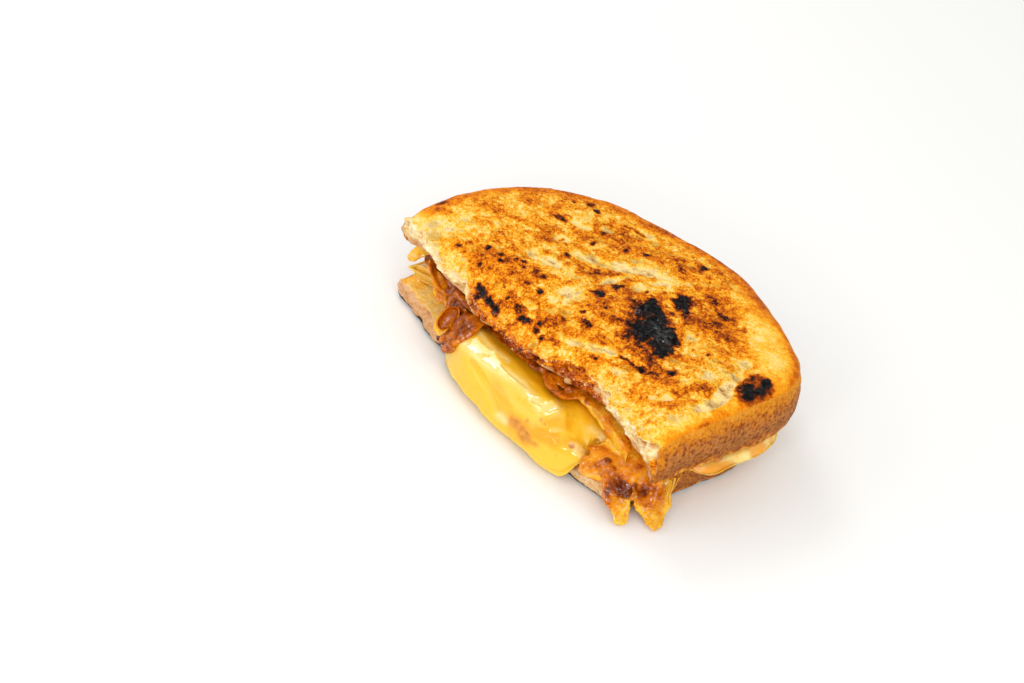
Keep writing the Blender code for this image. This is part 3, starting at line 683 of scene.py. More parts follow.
def toasted_face(points, wobble, torn):
    """Browning level and pit depth in mm of the upper face at layout points.

    The level starts from a broad noise and the rim's band, and each mark in turn pulls it to its own.
    A scorched spot's edge is shifted by the fine noise torn, more for a small spot than for a wide one,
    and it is soft over about five pixels, so every black spot has its brown halo.
    """
    place = picture_place(points)
    level = 0.41 + 0.11 * rough(flattened(points), 9.0, 41)
    inside = crust_distance(points) - 1.3 * noise(points, 7.0, 43)
    for mark in TOAST_ZONES:
        share = mark[6] * (1.0 - smooth_step((ellipse_distance(place, mark) + 0.35 * wobble - 0.55) / 0.8))
        level = level + (mark[5] - 0.02 - level) * share
    far_side = smooth_step((crust_angle(points) - 35.0) / 50.0)
    near_crust = (1.0 - far_side) * (1.0 - smooth_step((inside - 2.0) / 4.5)) * 0.7
    streaks = rough(stretched(flattened(points), 82.0, 3.0), 2.6, 47)
    level = level + (0.43 + 0.2 * streaks - level) * near_crust
    band = bell(np.maximum(inside - 0.8 - 2.4 * far_side, 0.0), 1.4 + 1.8 * far_side)
    level = level + (0.60 + 0.09 * rough(points, 4.0, 44) - level) * band * 0.92
    depth = np.zeros(len(points))
    for mark in PALE_PITS:
        away = ellipse_distance(place, mark) + 0.30 * wobble
        share = 1.0 - smooth_step((away - 0.62) / 0.6)
        level = level + (0.07 + mark[5] - level) * share
        depth = np.maximum(depth, mark[6] * np.sqrt(np.clip(1.1 - away**2, 0.0, 1.0)))
    for mark in SCORCHED:
        smallest = min(mark[2], mark[3])
        soft = min(max(5.0 / smallest, 0.3), 1.1)
        away = ellipse_distance(place, mark) * (1.0 + 0.3 * soft)
        away = away + 0.12 * wobble + (0.2 + 1.7 / smallest) * torn
        share = 1.0 - smooth_step((away - 1.0 + 0.6 * soft) / (1.2 * soft))
        peak = mark[5] * min(1.04, 0.86 + 0.04 * smallest)
        level = np.maximum(level, level + (peak - level) * share)
    return level, depth


def marked(place, marks, torn):
    """The strongest of some soft marks at each point. torn shifts their edges."""
    strongest = np.zeros(len(place))
    for mark in marks:
        share = 1.0 - smooth_step((ellipse_distance(place, mark) + torn - 0.45) / 0.9)
        strongest = np.maximum(strongest, mark[5] * share)
    return strongest


# %% [markdown]
# ## The upper slice
#
# The eye goes first to the toasted face. Its relief is real geometry: open bubbles, long pits, grit on
# the swells and a blistered crust of charcoal. The torn side is crumb pulled apart by hand, so it is
# ragged with deep holes, and the crust is a tough skin with fine pores.

# %% Upper slice
ACROSS, UPWARD = 252, 150
outline, outward = half_slice(ACROSS, ACROSS + 2 * UPWARD, UPPER_CRUST, UPPER_TEAR[:, (0, TOP_Y)])
recede = torn_face(LOW_Y, outline[:, 0]) - torn_face(TOP_Y, outline[:, 0])
rows = slice_rows(8, 26, 5, (0.02, 0.05, 0.09, 0.15, 0.22, 0.32, 0.55, 0.8))
rings = slice_rings(
    outline, outward, rows, upper_top, upper_bottom, CRUST_CORNER, UPPER_LOW_CORNER, recede, 1.0, 11
)
patch = face_patch(outline, outward, ACROSS, UPWARD, CRUST_CORNER, upper_top)
pole = np.append(HEART, upper_bottom(HEART))
base = np.concatenate([patch.reshape(-1, 3), rings.reshape(-1, 3), pole[None]])
upper_slice = new_piece("upper_slice", base, shell_faces(patch.shape[:2], len(rows), False))
print("upper slice:", len(base), "points")


def on_shell(patch, on_patch, on_rings, on_under=None):
    """One value per point of a shell: a number for the patch, rings by columns, and what lies below.

    Below is a second patch with a number of its own, or else a pole with the last ring's mean.
    """
    face = np.full(patch.shape[0] * patch.shape[1], float(on_patch))
    below = [on_rings[-1].mean()] if on_under is None else np.full(face.size, float(on_under))
    return np.concatenate([face, on_rings.ravel(), below])


def crumb_relief(points, seed):
    """How far torn crumb stands out or sinks, in mm: tufts of noise less the depth of open bubbles."""
    spread = points * np.array([0.7, 1.0, 1.25])
    holes = 1.6 * bubbles(spread, 3.1, seed) * 3.1 / 2.0 + 0.9 * bubbles(spread, 1.3, seed + 9)
    return 0.9 * rough(spread, 2.6, seed + 20, 4) - 0.8 * holes


def crust_relief(points, seed):
    """The crust's skin, in mm: slow dents, wrinkles round the loaf and fine pores."""
    wrinkle = noise(points * np.array([0.5, 0.5, 1.6]), 1.5, seed)
    pores = bubbles(points, 1.25, seed + 3, 0.5)
    return 0.35 * noise(points, 5.0, seed + 1) + 0.12 * wrinkle - 0.22 * pores


# %% [markdown]
# The relief is worked out for every point at once and blended by masks: how far the point belongs to
# the toasted face, to the crust and to the torn side. The same masks are painted on the points, so the
# material can tell the three finishes apart.

# %% Relief and masks of the upper slice
# Columns of the picture, in pixels: the middle and reach of the smooth crust end, the span where toast
# rolled down over the tear, the end of its glaze, the starts of the base end and of its frayed corner,
# and the end of the glow on the base corner.
SMOOTH_MIDDLE, SMOOTH_REACH = 770.0, 26.0
ROLLED_START, ROLLED_END = 462.0, 612.0
GLAZED_END = 552.0
BASE_END_START = 560.0
FRAYED_START = 646.0
CORNER_GLOW_END = 678.0
normals = normals_of(upper_slice)
at_cut = np.broadcast_to(facing_cut(outward), rings.shape[:2])
_, top_in, _, low_in, _, _, share = (rows[:, k][:, None] for k in range(7))
rise = rings[..., 2] - upper_bottom(rings)
drop = np.clip(1.0 - rise / (upper_top(rings[0, :, :2]) - upper_bottom(rings[0]))[None], 0.0, 1.0)
on_shoulder = np.broadcast_to(np.where(share > 0.999, 1.0 - top_in, 1.0), at_cut.shape)
beneath = on_shell(patch, 0.0, np.broadcast_to((low_in > 0.99).astype(float), at_cut.shape))
side = on_shell(patch, 0.0, smooth_step(on_shoulder))
depth_down = on_shell(patch, 0.0, drop)
cut_share = on_shell(patch, 0.0, at_cut) * side
crust_share = on_shell(patch, 0.0, 1.0 - at_cut) * side * (1.0 - beneath)

flat = flattened(base)
place = picture_place(base)
across_picture = place[:, 0]
wobble = rough(flat, 2.4, 51, 4) * 2.0
torn = rough(flat, 1.3, 55, 2)
level, pit = toasted_face(base, wobble, torn)
grain_line = stretched(flat, 36.0, 1.6)
small_holes = bubbles(grain_line, 1.35, 61)
large_holes = np.maximum(bubbles(grain_line, 3.8, 71, 0.5) - 0.12, 0.0)
smooth_right = bell(across_picture - SMOOTH_MIDDLE, SMOOTH_REACH)
quiet = smooth_step((crust_distance(base) - 1.0) / 8.0) * (1.0 - 0.75 * smooth_right)
grit = rough(flat, 1.15, 81, 3)
lumps = rough(grain_line, 3.0, 91, 3)
patches = rough(grain_line, 5.5, 95, 2)
grain = (0.10 * grit + 0.17 * lumps + 0.12 * patches) * (0.3 + 0.7 * quiet)
grain = grain + 0.10 * grit * smooth_step((level - 0.5) / 0.15)
grain = grain - quiet * (0.14 * small_holes + 0.45 * large_holes)
level = level + grain * (1.0 - 0.6 * smooth_step((level - 0.8) / 0.2))
char = smooth_step((level - 0.82) / 0.16)
pull_lines = rough(stretched(flat, 20.0, 2.4), 1.2, 97, 3)
fibres = 0.9 * np.clip(pit, 0.0, 1.0) * (1.0 - char) * smooth_step(0.15 + 1.5 * pull_lines)
top_relief = 0.20 * grit + 0.26 * lumps - quiet * (0.5 * small_holes + 1.6 * large_holes)
top_relief = top_relief - pit * (1.0 - char) - 0.5 * fibres
top_relief += char * (0.10 + 0.55 * rough(flat, 1.7, 101, 3))

# %% [markdown]
# The slice wasn't cut but pulled apart, and no two parts of the tear look alike. At the dome end it is
# dry and spongy, further on the toast has rolled down over it and is glazed with onion juice, and at
# the base end the crumb is white and frayed again.

# %% The torn side


def rolled_zone(across):
    """1 where the toast rolled down over the tear: between two columns of the picture."""
    return smooth_step((across - ROLLED_START) / 12.0) * smooth_step((ROLLED_END - across) / 30.0)


# Where onion juice browned the lower part of the tear, in the terms of the stains further down.
SOAKED = ((563, 373, 13, 6, 35, 1.0), (580, 385, 13, 7, 35, 0.95), (595, 397, 9, 5, 35, 0.8))
cut_here = on_shell(patch, 1.0, at_cut)
depth_in = base[:, 1] - torn_face(TOP_Y, base[:, 0])
near_tear = bell(np.maximum(depth_in, 0.0), 1.8) * cut_here
near_tear = near_tear * smooth_step((crust_distance(base) + 1.5) / 2.0)
rag = crumb_relief(base, 111)
fray = rough(base * np.array([1.0, 1.0, 0.8]), 1.7, 121, 3)
bites = np.maximum(rough(base * np.array([1.0, 1.0, 0.5]), 3.6, 125, 3), -0.15)
base_end = smooth_step((across_picture - BASE_END_START) / 60.0)
strands = rough(base * np.array([1.0, 1.0, 0.22]), 1.1, 127, 2)
paled_reach = 4.6 - 2.0 * base_end
rolled = rolled_zone(across_picture)
paled = bell(np.maximum(depth_in - 0.8, 0.0), paled_reach) * (1.0 - rolled)
sponge = bubbles(grain_line, 1.9, 65, 0.6) + 0.6 * bubbles(grain_line, 0.95, 67, 0.6)
glazed = smooth_step((across_picture - ROLLED_START) / 12.0)
glazed = glazed * smooth_step((GLAZED_END - across_picture) / 24.0)
faced = 1.0 - smooth_step((side - 0.5 + 0.25 * cut_here + 0.3 * fray * cut_here) / 0.4)
faced = np.maximum(faced, rolled * cut_share * (1.0 - smooth_step((depth_down - 0.35 + 0.35 * fray) / 0.3)))
frayed_corner = smooth_step((across_picture - FRAYED_START) / 8.0)
frayed_corner = frayed_corner * cut_share * smooth_step((depth_down - 0.15) / 0.2)
faced = np.maximum(faced, frayed_corner * smooth_step(0.8 + 1.4 * fray))
top_relief -= 0.9 * paled * sponge
moved = base + normals * (top_relief * (1.0 - side) + crust_relief(base, 131) * crust_share)[:, None]
pulled = rag * (0.5 + 0.7 * cut_share) + (1.2 + 0.8 * base_end) * fray - 2.8 * bites
pulled = near_tear * (pulled + 0.7 * base_end * strands) * (1.0 - 0.7 * beneath)
moved[:, 1] -= pulled
moved[:, 2] += near_tear * (0.6 * rough(base, 1.5, 151, 2) - 0.3 * glazed * (1.0 - beneath))
reshape_piece(upper_slice, moved)
level = level + (0.21 + 0.08 * base_end + 0.2 * fray - 0.22 * sponge - level) * paled * 0.85 * (1.0 - char)
rolled_level = 0.54 + 0.22 * rough(base, 2.2, 161, 3) + 0.09 * glazed
level = level + (rolled_level - level) * np.clip(rolled * near_tear * (0.25 + cut_share), 0.0, 1.0)
level = level + (0.38 + 0.12 * fray + 0.22 * strands - level) * frayed_corner
soaked = marked(place, SOAKED, torn) * cut_share
level = level + (0.62 + 0.15 * fray - level) * soaked
faced = np.maximum(faced, 0.9 * soaked)
low_glaze = smooth_step((depth_down - 0.45 - 0.3 * fray) / 0.4) * cut_share
near_base = smooth_step((26.0 - crust_angle(base)) / 12.0)
corner_glow = smooth_step((CORNER_GLOW_END - across_picture + 8.0 * strands) / 22.0) * near_base
# Wet glints on the toast, in the terms of the stains further down.
GLINTS = (
    (492, 314, 8, 4, 30, 1.0), (514, 340, 5, 3, 0, 1.0), (637, 311, 3, 4, 0, 0.9),
    (662, 335, 7, 12, -40, 0.6),
)
glow = 0.65 * corner_glow * (1.0 - cut_share) * np.clip(0.75 + 1.6 * strands, 0.0, 1.0)
# Painted shade: the toasted face is darkened in its open holes and along the fibres in its pits.
hollow = (quiet * (2.0 * large_holes + 0.8 * small_holes) + fibres) * (1.0 - side)
wet = np.maximum(low_glaze * 0.7, 0.5 * soaked)
wet = np.maximum(wet, 0.35 * glazed * near_tear * smooth_step(0.8 + fray))
gloss = 0.7 * glazed * near_tear * smooth_step(fray * 3.0) + 0.2 * char + marked(place, GLINTS, torn)
paint(
    upper_slice,
    toast=level,
    char=char * faced * (1.0 - cut_share),
    faced=faced,
    skin=on_shell(patch, 0.0, 1.0 - at_cut) * (1.0 - beneath),
    down=depth_down * (1.0 - glow),
    # Painted shade in the hollows of the torn crumb and in the holes of the toast.
    hollow=np.clip(-rag / 1.2 * cut_share + hollow, 0.0, 1.0),
    wet=np.clip(wet, 0.0, 1.0),
    gloss=np.clip(gloss, 0.0, 1.0),
    foam=(0.35 + 0.65 * np.maximum(quiet, cut_share)) * (1.0 - 0.3 * np.clip(pit, 0.0, 1.0)),
)
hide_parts("bread_top")
print("torn side is", round(float(rag.min()), 1), "to", round(float(rag.max()), 1), "mm off the solid")

# %% [markdown]
# ## The lower slice
#
# It is the same bread, seen mostly at its torn ends and its crust. Its underside took the pan's heat,
# so a dark burnt line runs along the foot of the cut, and the crumb near the onions has soaked up
# their juice. At the dome end the cut is darkened further, and that is painted shade.

# %% Lower slice
LOW_ACROSS, LOW_UPWARD = 200, 110
# Row of the picture where the face at the dome end stops browning, and the burnt edge of that end.
DOME_FACE_END = 292.0
BURNT_EDGE = ((388, 280), (393, 291), (400, 302))
outline, outward = half_slice(LOW_ACROSS, LOW_ACROSS + 2 * LOW_UPWARD, LOWER_CRUST, LOWER_TEAR)
rows = slice_rows(5, 22, 6, ())
rings = slice_rings(outline, outward, rows, lower_top, flat_base, LOWER_CORNER, LOWER_CORNER, 0.0, 0.4, 21)
patch = face_patch(outline, outward, LOW_ACROSS, LOW_UPWARD, LOWER_CORNER, lower_top)
under = face_patch(outline, outward, LOW_ACROSS, LOW_UPWARD, LOWER_CORNER, flat_base)
rings = rings[:-1]
rows = rows[:-1]
base = np.concatenate([patch.reshape(-1, 3), rings.reshape(-1, 3), under.reshape(-1, 3)])
lower_slice = new_piece("lower_slice", base, shell_faces(patch.shape[:2], len(rows), True))


normals = normals_of(lower_slice)
at_cut = np.broadcast_to(facing_cut(outward), rings.shape[:2])
_, top_in, _, low_in, _, _, share = (rows[:, k][:, None] for k in range(7))
side = on_shell(patch, 0.0, np.broadcast_to(smooth_step(1.0 - top_in - low_in), at_cut.shape), 0.0)
below = on_shell(patch, 0.0, np.broadcast_to(smooth_step((0.25 - share) / 0.2), at_cut.shape), 1.0)
cut_share = on_shell(patch, 0.0, at_cut, 0.0) * side
crust_share = on_shell(patch, 0.0, 1.0 - at_cut, 0.0) * side
low_line = smooth_step((1.5 + 0.9 * rough(base, 2.4, 205) - base[:, 2]) / 0.9) * side
flat = flattened(base)
rag = crumb_relief(base, 211)
moved = base + normals * (crust_relief(base, 231) * crust_share)[:, None]
moved[:, 1] -= rag * 0.75 * cut_share
top_only = (1.0 - side) * (1.0 - below)
moved[:, 2] += top_only * (0.35 * rough(base, 3.0, 221) - 0.5 * bubbles(flat, 1.8, 225))
reshape_piece(lower_slice, moved)
under_level = 0.68 + 0.2 * rough(flat, 7.0, 241) + 0.2 * rough(flat, 1.8, 245)
place = picture_place(base)
dome_end = smooth_step((-24.0 - base[:, 0]) / 6.0)
inner_level = 0.22 + 0.03 * dome_end
inner_level = inner_level + 0.20 * dome_end * smooth_step((DOME_FACE_END - place[:, 1]) / 22.0)
inner_level += 0.10 * rough(flat, 3.0, 251)
burnt = bell(line_distance(place, BURNT_EDGE), 3.0) * (base[:, 0] < -40)
inner_level += 0.7 * burnt * smooth_step(0.4 + rough(base, 1.6, 255))
paint(
    lower_slice,
    toast=np.where(below > 0.5, under_level, inner_level) + low_line * (0.9 - inner_level),
    char=low_line * smooth_step(0.2 + rough(base, 1.6, 261)),
    faced=np.maximum(np.maximum(1.0 - side, low_line), below * (1.0 - side)),
    skin=on_shell(patch, 0.0, 1.0 - at_cut, 0.0) * (1.0 - low_line),
    down=0.35 + 0.65 * np.clip(1.0 - base[:, 2] / 8.0, 0.0, 1.0),
    # Painted shade in the hollows of the torn crumb.
    hollow=smooth_step(-rag / 1.2) * cut_share,
    # Onion juice darkens and glosses the top and the cut; the extra darkening of the cut at the dome end is
    # painted shade.
    wet=np.maximum(top_only * (0.45 - 0.43 * dome_end), (0.42 + 0.42 * dome_end) * cut_share),
    gloss=top_only * 0.6,
    foam=np.maximum(0.5, cut_share),
)
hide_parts("bread_bottom")
print("lower slice:", len(base), "points")

# %% [markdown]
# ## The melted cheese
#
# Warm cheese flows out of the cut as one thick lip, rolls over its own edge and stops just above the
# table. A dozen key rings describe the section, and a Catmull-Rom curve through them makes it smooth.
# Slow waves and a few drawn folds keep it from looking like moulded plastic.

# %% Cheese
CHEESE_COLUMNS = 640
CRUST_SHARE = 0.63


def lower_outline(columns):
    """Outline of the lower slice and its outward directions, with CRUST_SHARE of the columns on the crust."""
    crust_cells = round(columns * CRUST_SHARE)
    return half_slice(columns - crust_cells, crust_cells, LOWER_CRUST, LOWER_TEAR)


def pulled_in(edge, pulls, height_of, lift=0.0):
    """Rings drawn from an edge towards the heart by each pull, at a height and a lift above it."""
    rings = [HEART + (edge - HEART) * (1.0 - pull) for pull in pulls]
    return [np.column_stack([flat, height_of(flat) + lift]) for flat in rings]


def key_rings(columns):
    """Key rings of the cheese, a thin layer whose lip hooks over the lower slice's cut and hangs down."""
    outline, outward = lower_outline(columns)
    at_cut = facing_cut(outward)
    x, y = outline[:, 0], outline[:, 1]
    level = np.stack([x, y, 0.0 * x], axis=1)
    ooze = smooth_step((y - 10.0) / 14.0) * smooth_step((58.0 - y) / 16.0) * smooth_step((x - 34.0) / 10.0)
    ooze = CORNER_OOZE * ooze + noise(level, 9.0, 31)
    reach = at_cut * along_knots(CHEESE_LIP, x) + (1.0 - at_cut) * (CHEESE_EDGE + ooze)
    hang = smooth_step((reach - 0.6) / 3.6) * at_cut
    edge_top = cheese_top(outline)
    bed = lower_top(outline) + CHEESE_GAP
    low = LIP_LOW + 1.4 * (1.0 - hang) + 0.5 * noise(level, 11.0, 33)
    droop = (1.0 - at_cut) * smooth_step((reach - 1.5) / 4.0)
    tip = (1.0 - hang) * (0.5 * (edge_top + bed) - 1.6 * droop) + hang * (low + 2.6)
    edge = inset(outline, outward, 5.0 - np.minimum(reach, 0.0))
    found = pulled_in(edge, HIDDEN_PULLS[::-1], cheese_top)

    def ring(offset, height):
        outer = outline + outward * offset[:, None]
        moved = np.where(offset[:, None] > 0.0, outer, inset(outline, outward, -offset))
        found.append(np.column_stack([moved, height]))

    start = -5.0 + np.minimum(reach, 0.0)
    shoulder = edge_top + 0.9 * hang
    for turn in (0.3, 0.6, 0.85):
        curve = (1.0 - (max(turn - 0.15, 0.0) / 0.85) ** 2.6) ** 0.5
        ring(start + (reach - start) * turn, tip + (shoulder - tip) * curve)
    ring(reach, tip)
    ring(reach - 0.5 * hang - 0.1, tip * (1.0 - 0.65 * hang) + 0.65 * hang * low)
    beneath = reach * 0.6 + (HOOK_CLEARANCE + 0.8) * 0.4
    ring(hang * beneath + (1.0 - hang) * (reach - 0.3), hang * low + (1.0 - hang) * (tip - 0.5))
    hooked = hang * HOOK_CLEARANCE
    ring(hooked + (1.0 - hang) * (reach - 0.9), hang * (low + 0.5) + (1.0 - hang) * (tip - 0.8))
    ring(hooked + (1.0 - hang) * np.minimum(reach - 1.6, -0.2), bed + 0.3 * hang)
    return np.stack([*found, *pulled_in(edge, HIDDEN_PULLS, cheese_bottom)])


def refine(rings, steps):
    """Rings between the given ones on Catmull-Rom curves, steps of them in each span."""
    padded = np.concatenate([rings[:1], rings, rings[-1:]])
    fine = []
    for k, count in enumerate(steps):
        before, start, end, after = padded[k : k + 4]
        for t in np.linspace(0.0, 1.0, count, endpoint=False):
            fine.append(
                0.5 * (2 * start + (end - before) * t + (2 * before - 5 * start + 4 * end - after) * t**2
                       + (3 * start - before - 3 * end + after) * t**3)
            )
    fine.append(rings[-1])
    return np.stack(fine)


def ringed_piece(name, keys, steps):
    """A piece of refined rings between two poles, which stand for the first and last ring, and its points."""
    rings = refine(keys, steps)[1:-1]
    poles = np.stack([keys[0].mean(axis=0), keys[-1].mean(axis=0)])
    base = np.concatenate([rings.reshape(-1, 3), poles])
    return new_piece(name, base, ringed_faces(*rings.shape[:2])), base


CHEESE_STEPS = (1, 1, 1, 2, 6, 12, 12, 14, 10, 6, 6, 5, 5, 3, 1, 1, 1, 1, 1)
cheese, base = ringed_piece("melted_cheese", key_rings(CHEESE_COLUMNS), CHEESE_STEPS)
normals = normals_of(cheese)
print("cheese:", len(base), "points, normals up at the top pole:", normals[-2].round(2))

# %% [markdown]
# Folds run where the flow slowed down first. Each is a curve across the picture, and the surface dips
# or swells along it. Onion juice stains the cheese in a few places, and along the seam it turns amber,
# partly as painted shade. The cheese is paler near the table and towards its left end, and a painted
# sheen lightens it where butter stands.

# %% Folds and stains of the cheese
# Folds: points of a line in the picture, half width in pixels, height in mm.
FOLDS = (
    (((472, 360), (482, 376), (491, 394), (500, 414)), 2.2, -0.75),
    (((466, 366), (476, 384), (486, 402), (498, 420)), 6.0, 0.35),
    (((462, 346), (482, 360), (506, 378), (530, 397), (556, 404)), 4.5, 0.4),
    (((500, 352), (520, 372), (538, 388)), 3.4, -0.3),
    (((528, 402), (548, 414), (572, 409)), 3.0, 0.4),
    (((552, 426), (574, 417), (598, 424)), 3.0, 0.3),
    (((538, 436), (560, 431), (580, 438)), 2.6, -0.3),
    (((510, 424), (524, 440), (540, 452)), 4.0, -0.25),
    (((530, 404), (541, 409), (552, 403)), 2.2, 0.45),
    (((536, 414), (548, 418), (558, 412)), 1.8, 0.35),
    (((500, 368), (512, 380), (522, 388)), 2.4, 0.3),
)
# Stains: across, down, half width, half height, turn, strength.
STAINS = (
    (515, 422, 6, 7, 60, 0.9), (524, 435, 12, 6, 50, 0.8), (533, 444, 7, 3, 30, 0.7),
    (527, 421, 2, 2, 0, 0.9), (592, 462, 13, 13, 0, 0.85), (604, 450, 12, 10, 0, 0.8),
    (556, 392, 9, 4, 35, 0.7), (572, 446, 3, 2.6, 0, 1.0), (597, 440, 3, 2.4, 0, 0.7),
    (527, 433, 2.4, 2, 0, 0.8), (541, 420, 2, 2, 0, 0.6),
)
# Amber places where oil lies, in the same terms.
DEEP = (
    (520, 428, 26, 12, 45, 0.9), (500, 392, 6, 20, -30, 0.6), (545, 436, 36, 10, 20, 1.0),
    (560, 425, 20, 8, 0, 0.6),
)
# Burst bubbles: across, down, radius in pixels.
BURST = (
    (572, 446, 3.4), (597, 441, 2.8), (527, 433, 2.2), (556, 455, 1.8), (545, 424, 1.8), (585, 448, 1.6),
)
# Places where melted butter stands: points of a line in the picture and half width in pixels. There
# the cheese is glossier and lightly rippled, and its colour is lightened as a painted sheen.
BUTTER_AND_SHEEN = (
    (((462, 341), (478, 356), (498, 369), (522, 383), (533, 398), (541, 409), (556, 409)), 5.0),
    (((500, 415), (505, 421)), 3.4),
    (((478, 330), (490, 346), (508, 360)), 2.6),
    (((574, 446), (584, 452)), 4.0),
    (((590, 428), (604, 436)), 3.4),
)
# Where the cheese meets the onions under the upper slice: points of a line in the picture. Along it the
# cheese turns amber, partly a stain of onion juice and partly painted shade under the slice.
SEAM = (
    (466, 322), (485, 326), (500, 331), (513, 345), (529, 358), (542, 377), (568, 396), (590, 400),
    (606, 412), (619, 428), (634, 440),
)
# The wrinkled skin: across, down, half width, half height, turn.
WRINKLED = (556, 416, 36, 22, 0)
place = picture_place(base)
facing = smooth_step((normals @ BACK + 0.1) / 0.4)
relief = 0.35 * noise(base, 9.0, 301) + 0.25 * noise(base, 4.2, 302) + 0.09 * rough(base, 2.0, 303, 2)
for line, half_width, height in FOLDS:
    relief += facing * height * bell(line_distance(place, line), half_width)
for across, down, radius in BURST:
    away = np.linalg.norm(place - np.array([across, down]), axis=1) / radius
    relief += facing * (0.18 * bell(away - 1.2, 0.35) - 0.5 * np.exp(-(away**4)))
# Golden places of the ooze at the crust, in the same terms as the stains.
OOZE_GOLD = ((714, 469, 20, 7, -15, 1.0), (758, 452, 10, 8, -40, 0.85), (694, 470, 12, 6, 0, 1.0))
# Where butter stands the cheese gets gloss and fine ripples, and its colour gets a painted sheen.
butter = np.zeros(len(base))
for line, half_width in BUTTER_AND_SHEEN:
    butter = np.maximum(butter, facing * bell(line_distance(place, line), half_width))
lip_share = smooth_step((2.0 - base[:, 1]) / 6.0)
wrinkled = bell(ellipse_distance(place, WRINKLED), 1.0) * facing
relief = relief * (0.25 + 0.75 * lip_share) + wrinkled * 0.5 * rough(stretched(base, -40, 2.2), 2.6, 307)
relief += 0.16 * butter * rough(base, 1.5, 313, 2)
oozing = smooth_step((base[:, 1] - 6.0) / 6.0) * smooth_step((base[:, 0] - 30.0) / 8.0)
relief += 0.6 * oozing * rough(base, 3.6, 309, 2)
torn = 0.5 * rough(base, 2.6, 311)
seam_gap = line_distance(place, SEAM)
dome_end = smooth_step((-33.0 - base[:, 0]) / 4.0)
# Along the seam the cheese is browned and turned amber: partly onion juice, partly painted shade under the
# upper slice.
at_seam = bell(seam_gap, 4.5 + 2.0 * torn)
stain = np.maximum(facing * marked(place, STAINS, torn), 0.6 * facing * at_seam)
deep = np.maximum(facing * marked(place, DEEP, torn), facing * bell(seam_gap, 11.0))
moved = base + normals * (relief - 0.15 - 0.5 * dome_end)[:, None]
reshape_piece(cheese, moved)
deep = deep + (marked(place, OOZE_GOLD, torn) - deep) * oozing
# The cheese is painted paler near the table and towards its left end.
pale = smooth_step((4.5 - base[:, 2]) / 4.0) * 0.5 + 0.45 * smooth_step((-8.0 - base[:, 0]) / 10.0)
paint(
    cheese,
    stain=np.clip(np.maximum(stain, dome_end * (0.2 + torn)), 0.0, 1.0),
    deep=np.maximum(deep, dome_end),
    pale=pale + 0.2 * dome_end,
    ooze=oozing,
    butter=butter,
)
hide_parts("cheese")
print("cheese relief:", relief.min().round(2), "to", relief.max().round(2), "mm")

# %% [markdown]
# ## The caramelised onions
#
# Sliced onion cooks down to soft, curled ribbons, each one once a part of a round layer. They lie on
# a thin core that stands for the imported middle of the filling, which nobody sees. Each ribbon is a
# flat tube along a smooth path, curled across and rippled at its edges.

